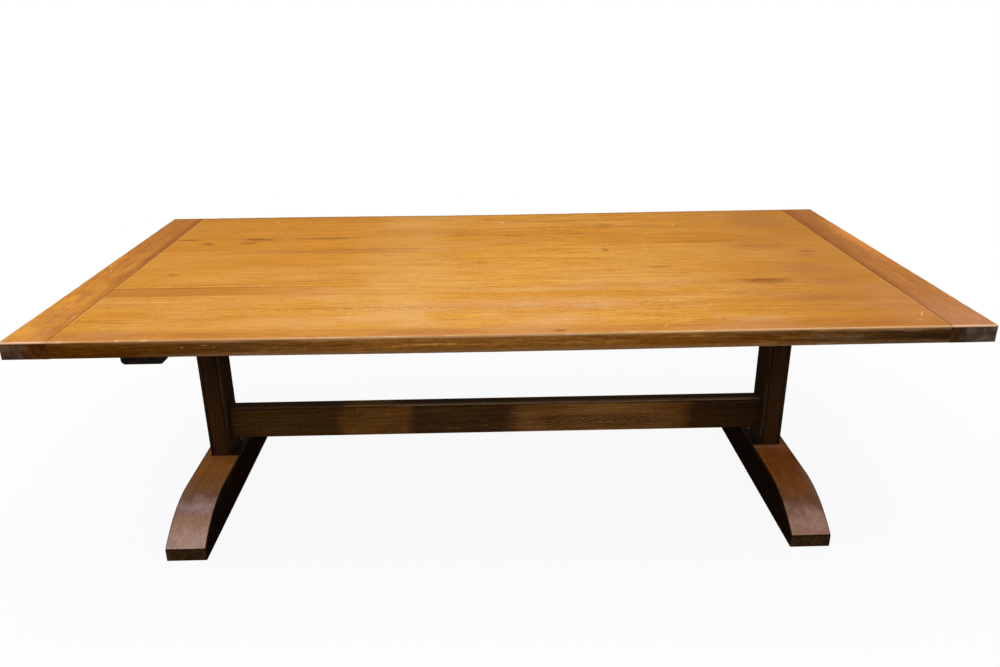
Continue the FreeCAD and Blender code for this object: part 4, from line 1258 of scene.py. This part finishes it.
for node, axis, outward, radius, places in peg_groups:
    low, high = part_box(node)
    direction = AXES[axis] * outward
    turn = direction.to_track_quat("Z", "Y").to_matrix().to_4x4()
    shape = bmesh.new()
    for order, (height, y) in enumerate(places):
        middle = Vector(((low.x + high.x) / 2, y, (low.z + high.z) / 2 if height is None else height))
        twist = Matrix.Rotation(order * 0.7 + radius * 100, 4, "Z")  # no two pegs lie alike
        place = Matrix.Translation(middle + direction * PROUD) @ turn @ twist
        rod = bmesh.ops.create_cone(shape, cap_ends=True, segments=8, radius1=radius * TAPER, radius2=radius,
                                    depth=(high - low).dot(AXES[axis]), matrix=place)["verts"]
        far = max(vertex.co.dot(direction) for vertex in rod)
        head = [edge for edge in {edge for vertex in rod for edge in vertex.link_edges}
                if all(vertex.co.dot(direction) > far - TINY for vertex in edge.verts)]
        ease(shape, head, HEAD_EASE, 2)
    finish_piece(f"pared_{node}", shape, [peg_finishes[axis]], node)

# %% [markdown]
# ## Hidden tongues and steel
#
# The tongues between the boards are clean sawn oak. The screws, bolts, washers
# and barrel nuts keep the frame's own shapes and only get a better finish:
# brushed steel with fine lines, and zinc that has gone cloudy.


# %% Dress the parts that keep their shape
def steel(name, shades, fine):
    coat = Coat(name, 0.5)
    coat.shader.inputs["Metallic"].default_value = 1.0
    clouds = coat.cloud((90, 90, 90), 3.0)
    scratches = coat.cloud((fine, fine, 200))
    coat.colour = coat.shades(coat.sway(0.5, (clouds, 0.9), (scratches, 0.6)), shades)
    return coat.finish(coat.span(clouds, 0.3, 0.7, 0.5, 0.28), scratches, 0.08)


screw_steel = steel("brushed_screw_steel", [(0.2, (84, 78, 72)), (0.8, (150, 144, 136))], 3000)
hidden_finishes = {
    "loose_tongue": oak("sawn_tongue", "X", 61, [(0.1, (170, 130, 84)), (0.5, (196, 158, 110)),
                                                 (0.9, (220, 186, 140))], rough=0.75, gloss=0.03),
    "bearer_screws": screw_steel,
    "bearer_washers": screw_steel,
    "stretcher_": steel("cloudy_zinc", [(0.2, (78, 76, 74)), (0.8, (134, 132, 128))], 1800),
}
for node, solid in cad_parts.items():
    for start, finish in hidden_finishes.items():
        if node.startswith(start):
            for place in solid.material_slots:
                place.material = finish
            print(node, "is finished with", finish.name)

# %% [markdown]
# ## The floor
#
# The camera and reflections see the floor mostly as plain white. Close to the
# table a small share of matt floor under the lamps is mixed in, which keeps a
# soft shadow, and with distance it fades out. All other light meets the matt
# floor alone. From below the floor is clear, so that the underside of the table
# can be looked at.

# %% Lay the floor
WHITE = (1.0, 1.0, 1.0, 1.0)
FLOOR_WHITE = (0.92, 0.92, 0.92, 1.0)
FADE_START, FADE_END = 1.2, 3.0  # metres from the middle of the table
NEAR_GLOW = 0.92  # the share of plain white close to the table
FLOOR_SIZE = 60.0
GAP_UNDER_FEET = 0.0005

floor_finish = bpy.data.materials.new("pale_studio_floor")
floor_finish.use_nodes = True
floor_finish.node_tree.nodes.clear()
recipe = Recipe(floor_finish.node_tree)
away = recipe.length(recipe.node("TexCoord", {}).outputs["Object"])
share = recipe.times(recipe.fade(away, FADE_START, FADE_END, 1.0, NEAR_GLOW), recipe.backdrop_rays())
matt = recipe.node("BsdfDiffuse", {"Color": FLOOR_WHITE}).outputs[0]
glow = recipe.node("Emission", {"Color": WHITE, "Strength": 1.0}).outputs[0]
blend = recipe.node("MixShader", {0: share, 1: matt, 2: glow}).outputs[0]
below = recipe.node("NewGeometry", {}).outputs["Backfacing"]
clear = recipe.node("BsdfTransparent", {"Color": WHITE}).outputs[0]
one_sided = recipe.node("MixShader", {0: below, 1: blend, 2: clear}).outputs[0]
recipe.node("OutputMaterial", {"Surface": one_sided})

floor_shape = bmesh.new()
bmesh.ops.create_grid(floor_shape, x_segments=2, y_segments=2, size=FLOOR_SIZE)
bmesh.ops.translate(floor_shape, vec=(0, 0, -GAP_UNDER_FEET), verts=floor_shape.verts)
floor = to_object("studio_floor", floor_shape, [floor_finish])
print("the floor is laid")

# %% [markdown]
# ## Soft light
#
# The sky lights the table evenly from all sides at half strength, while the camera
# and reflections see it plain white. A large lamp above the table and one in front
# of it add the rest, so that upright faces are darker than the top and the shadow
# under the table is soft.

# %% Light the studio
SKY_LIGHT = 0.5
scene.world = bpy.data.worlds.new("white_studio")
scene.world.use_nodes = True
sky = Recipe(scene.world.node_tree)
background = sky.tree.nodes["Background"]
background.inputs["Color"].default_value = WHITE
sky.tree.links.new(sky.span(sky.backdrop_rays(), 0.0, 1.0, 1.0, SKY_LIGHT), background.inputs["Strength"])


def hang_lamp(name, place, target, width, depth, power):
    lamp_data = bpy.data.lights.new(name, "AREA")
    lamp_data.shape = "RECTANGLE"
    lamp_data.size, lamp_data.size_y = width, depth
    lamp_data.energy = power
    lamp = bpy.data.objects.new(name, lamp_data)
    lamp.location = place
    lamp.rotation_euler = (Vector(target) - Vector(place)).to_track_quat("-Z", "Y").to_euler()
    scene.collection.objects.link(lamp)
    print(name, "gives", power, "W")


hang_lamp("overhead_lamp", (-0.3, -0.2, 3.4), (-0.2, 0.0, 0.7), 2.6, 2.0, 34.0)
hang_lamp("front_lamp", (-0.4, -3.6, 2.2), (0.0, 0.0, 0.5), 2.4, 1.6, 55.0)
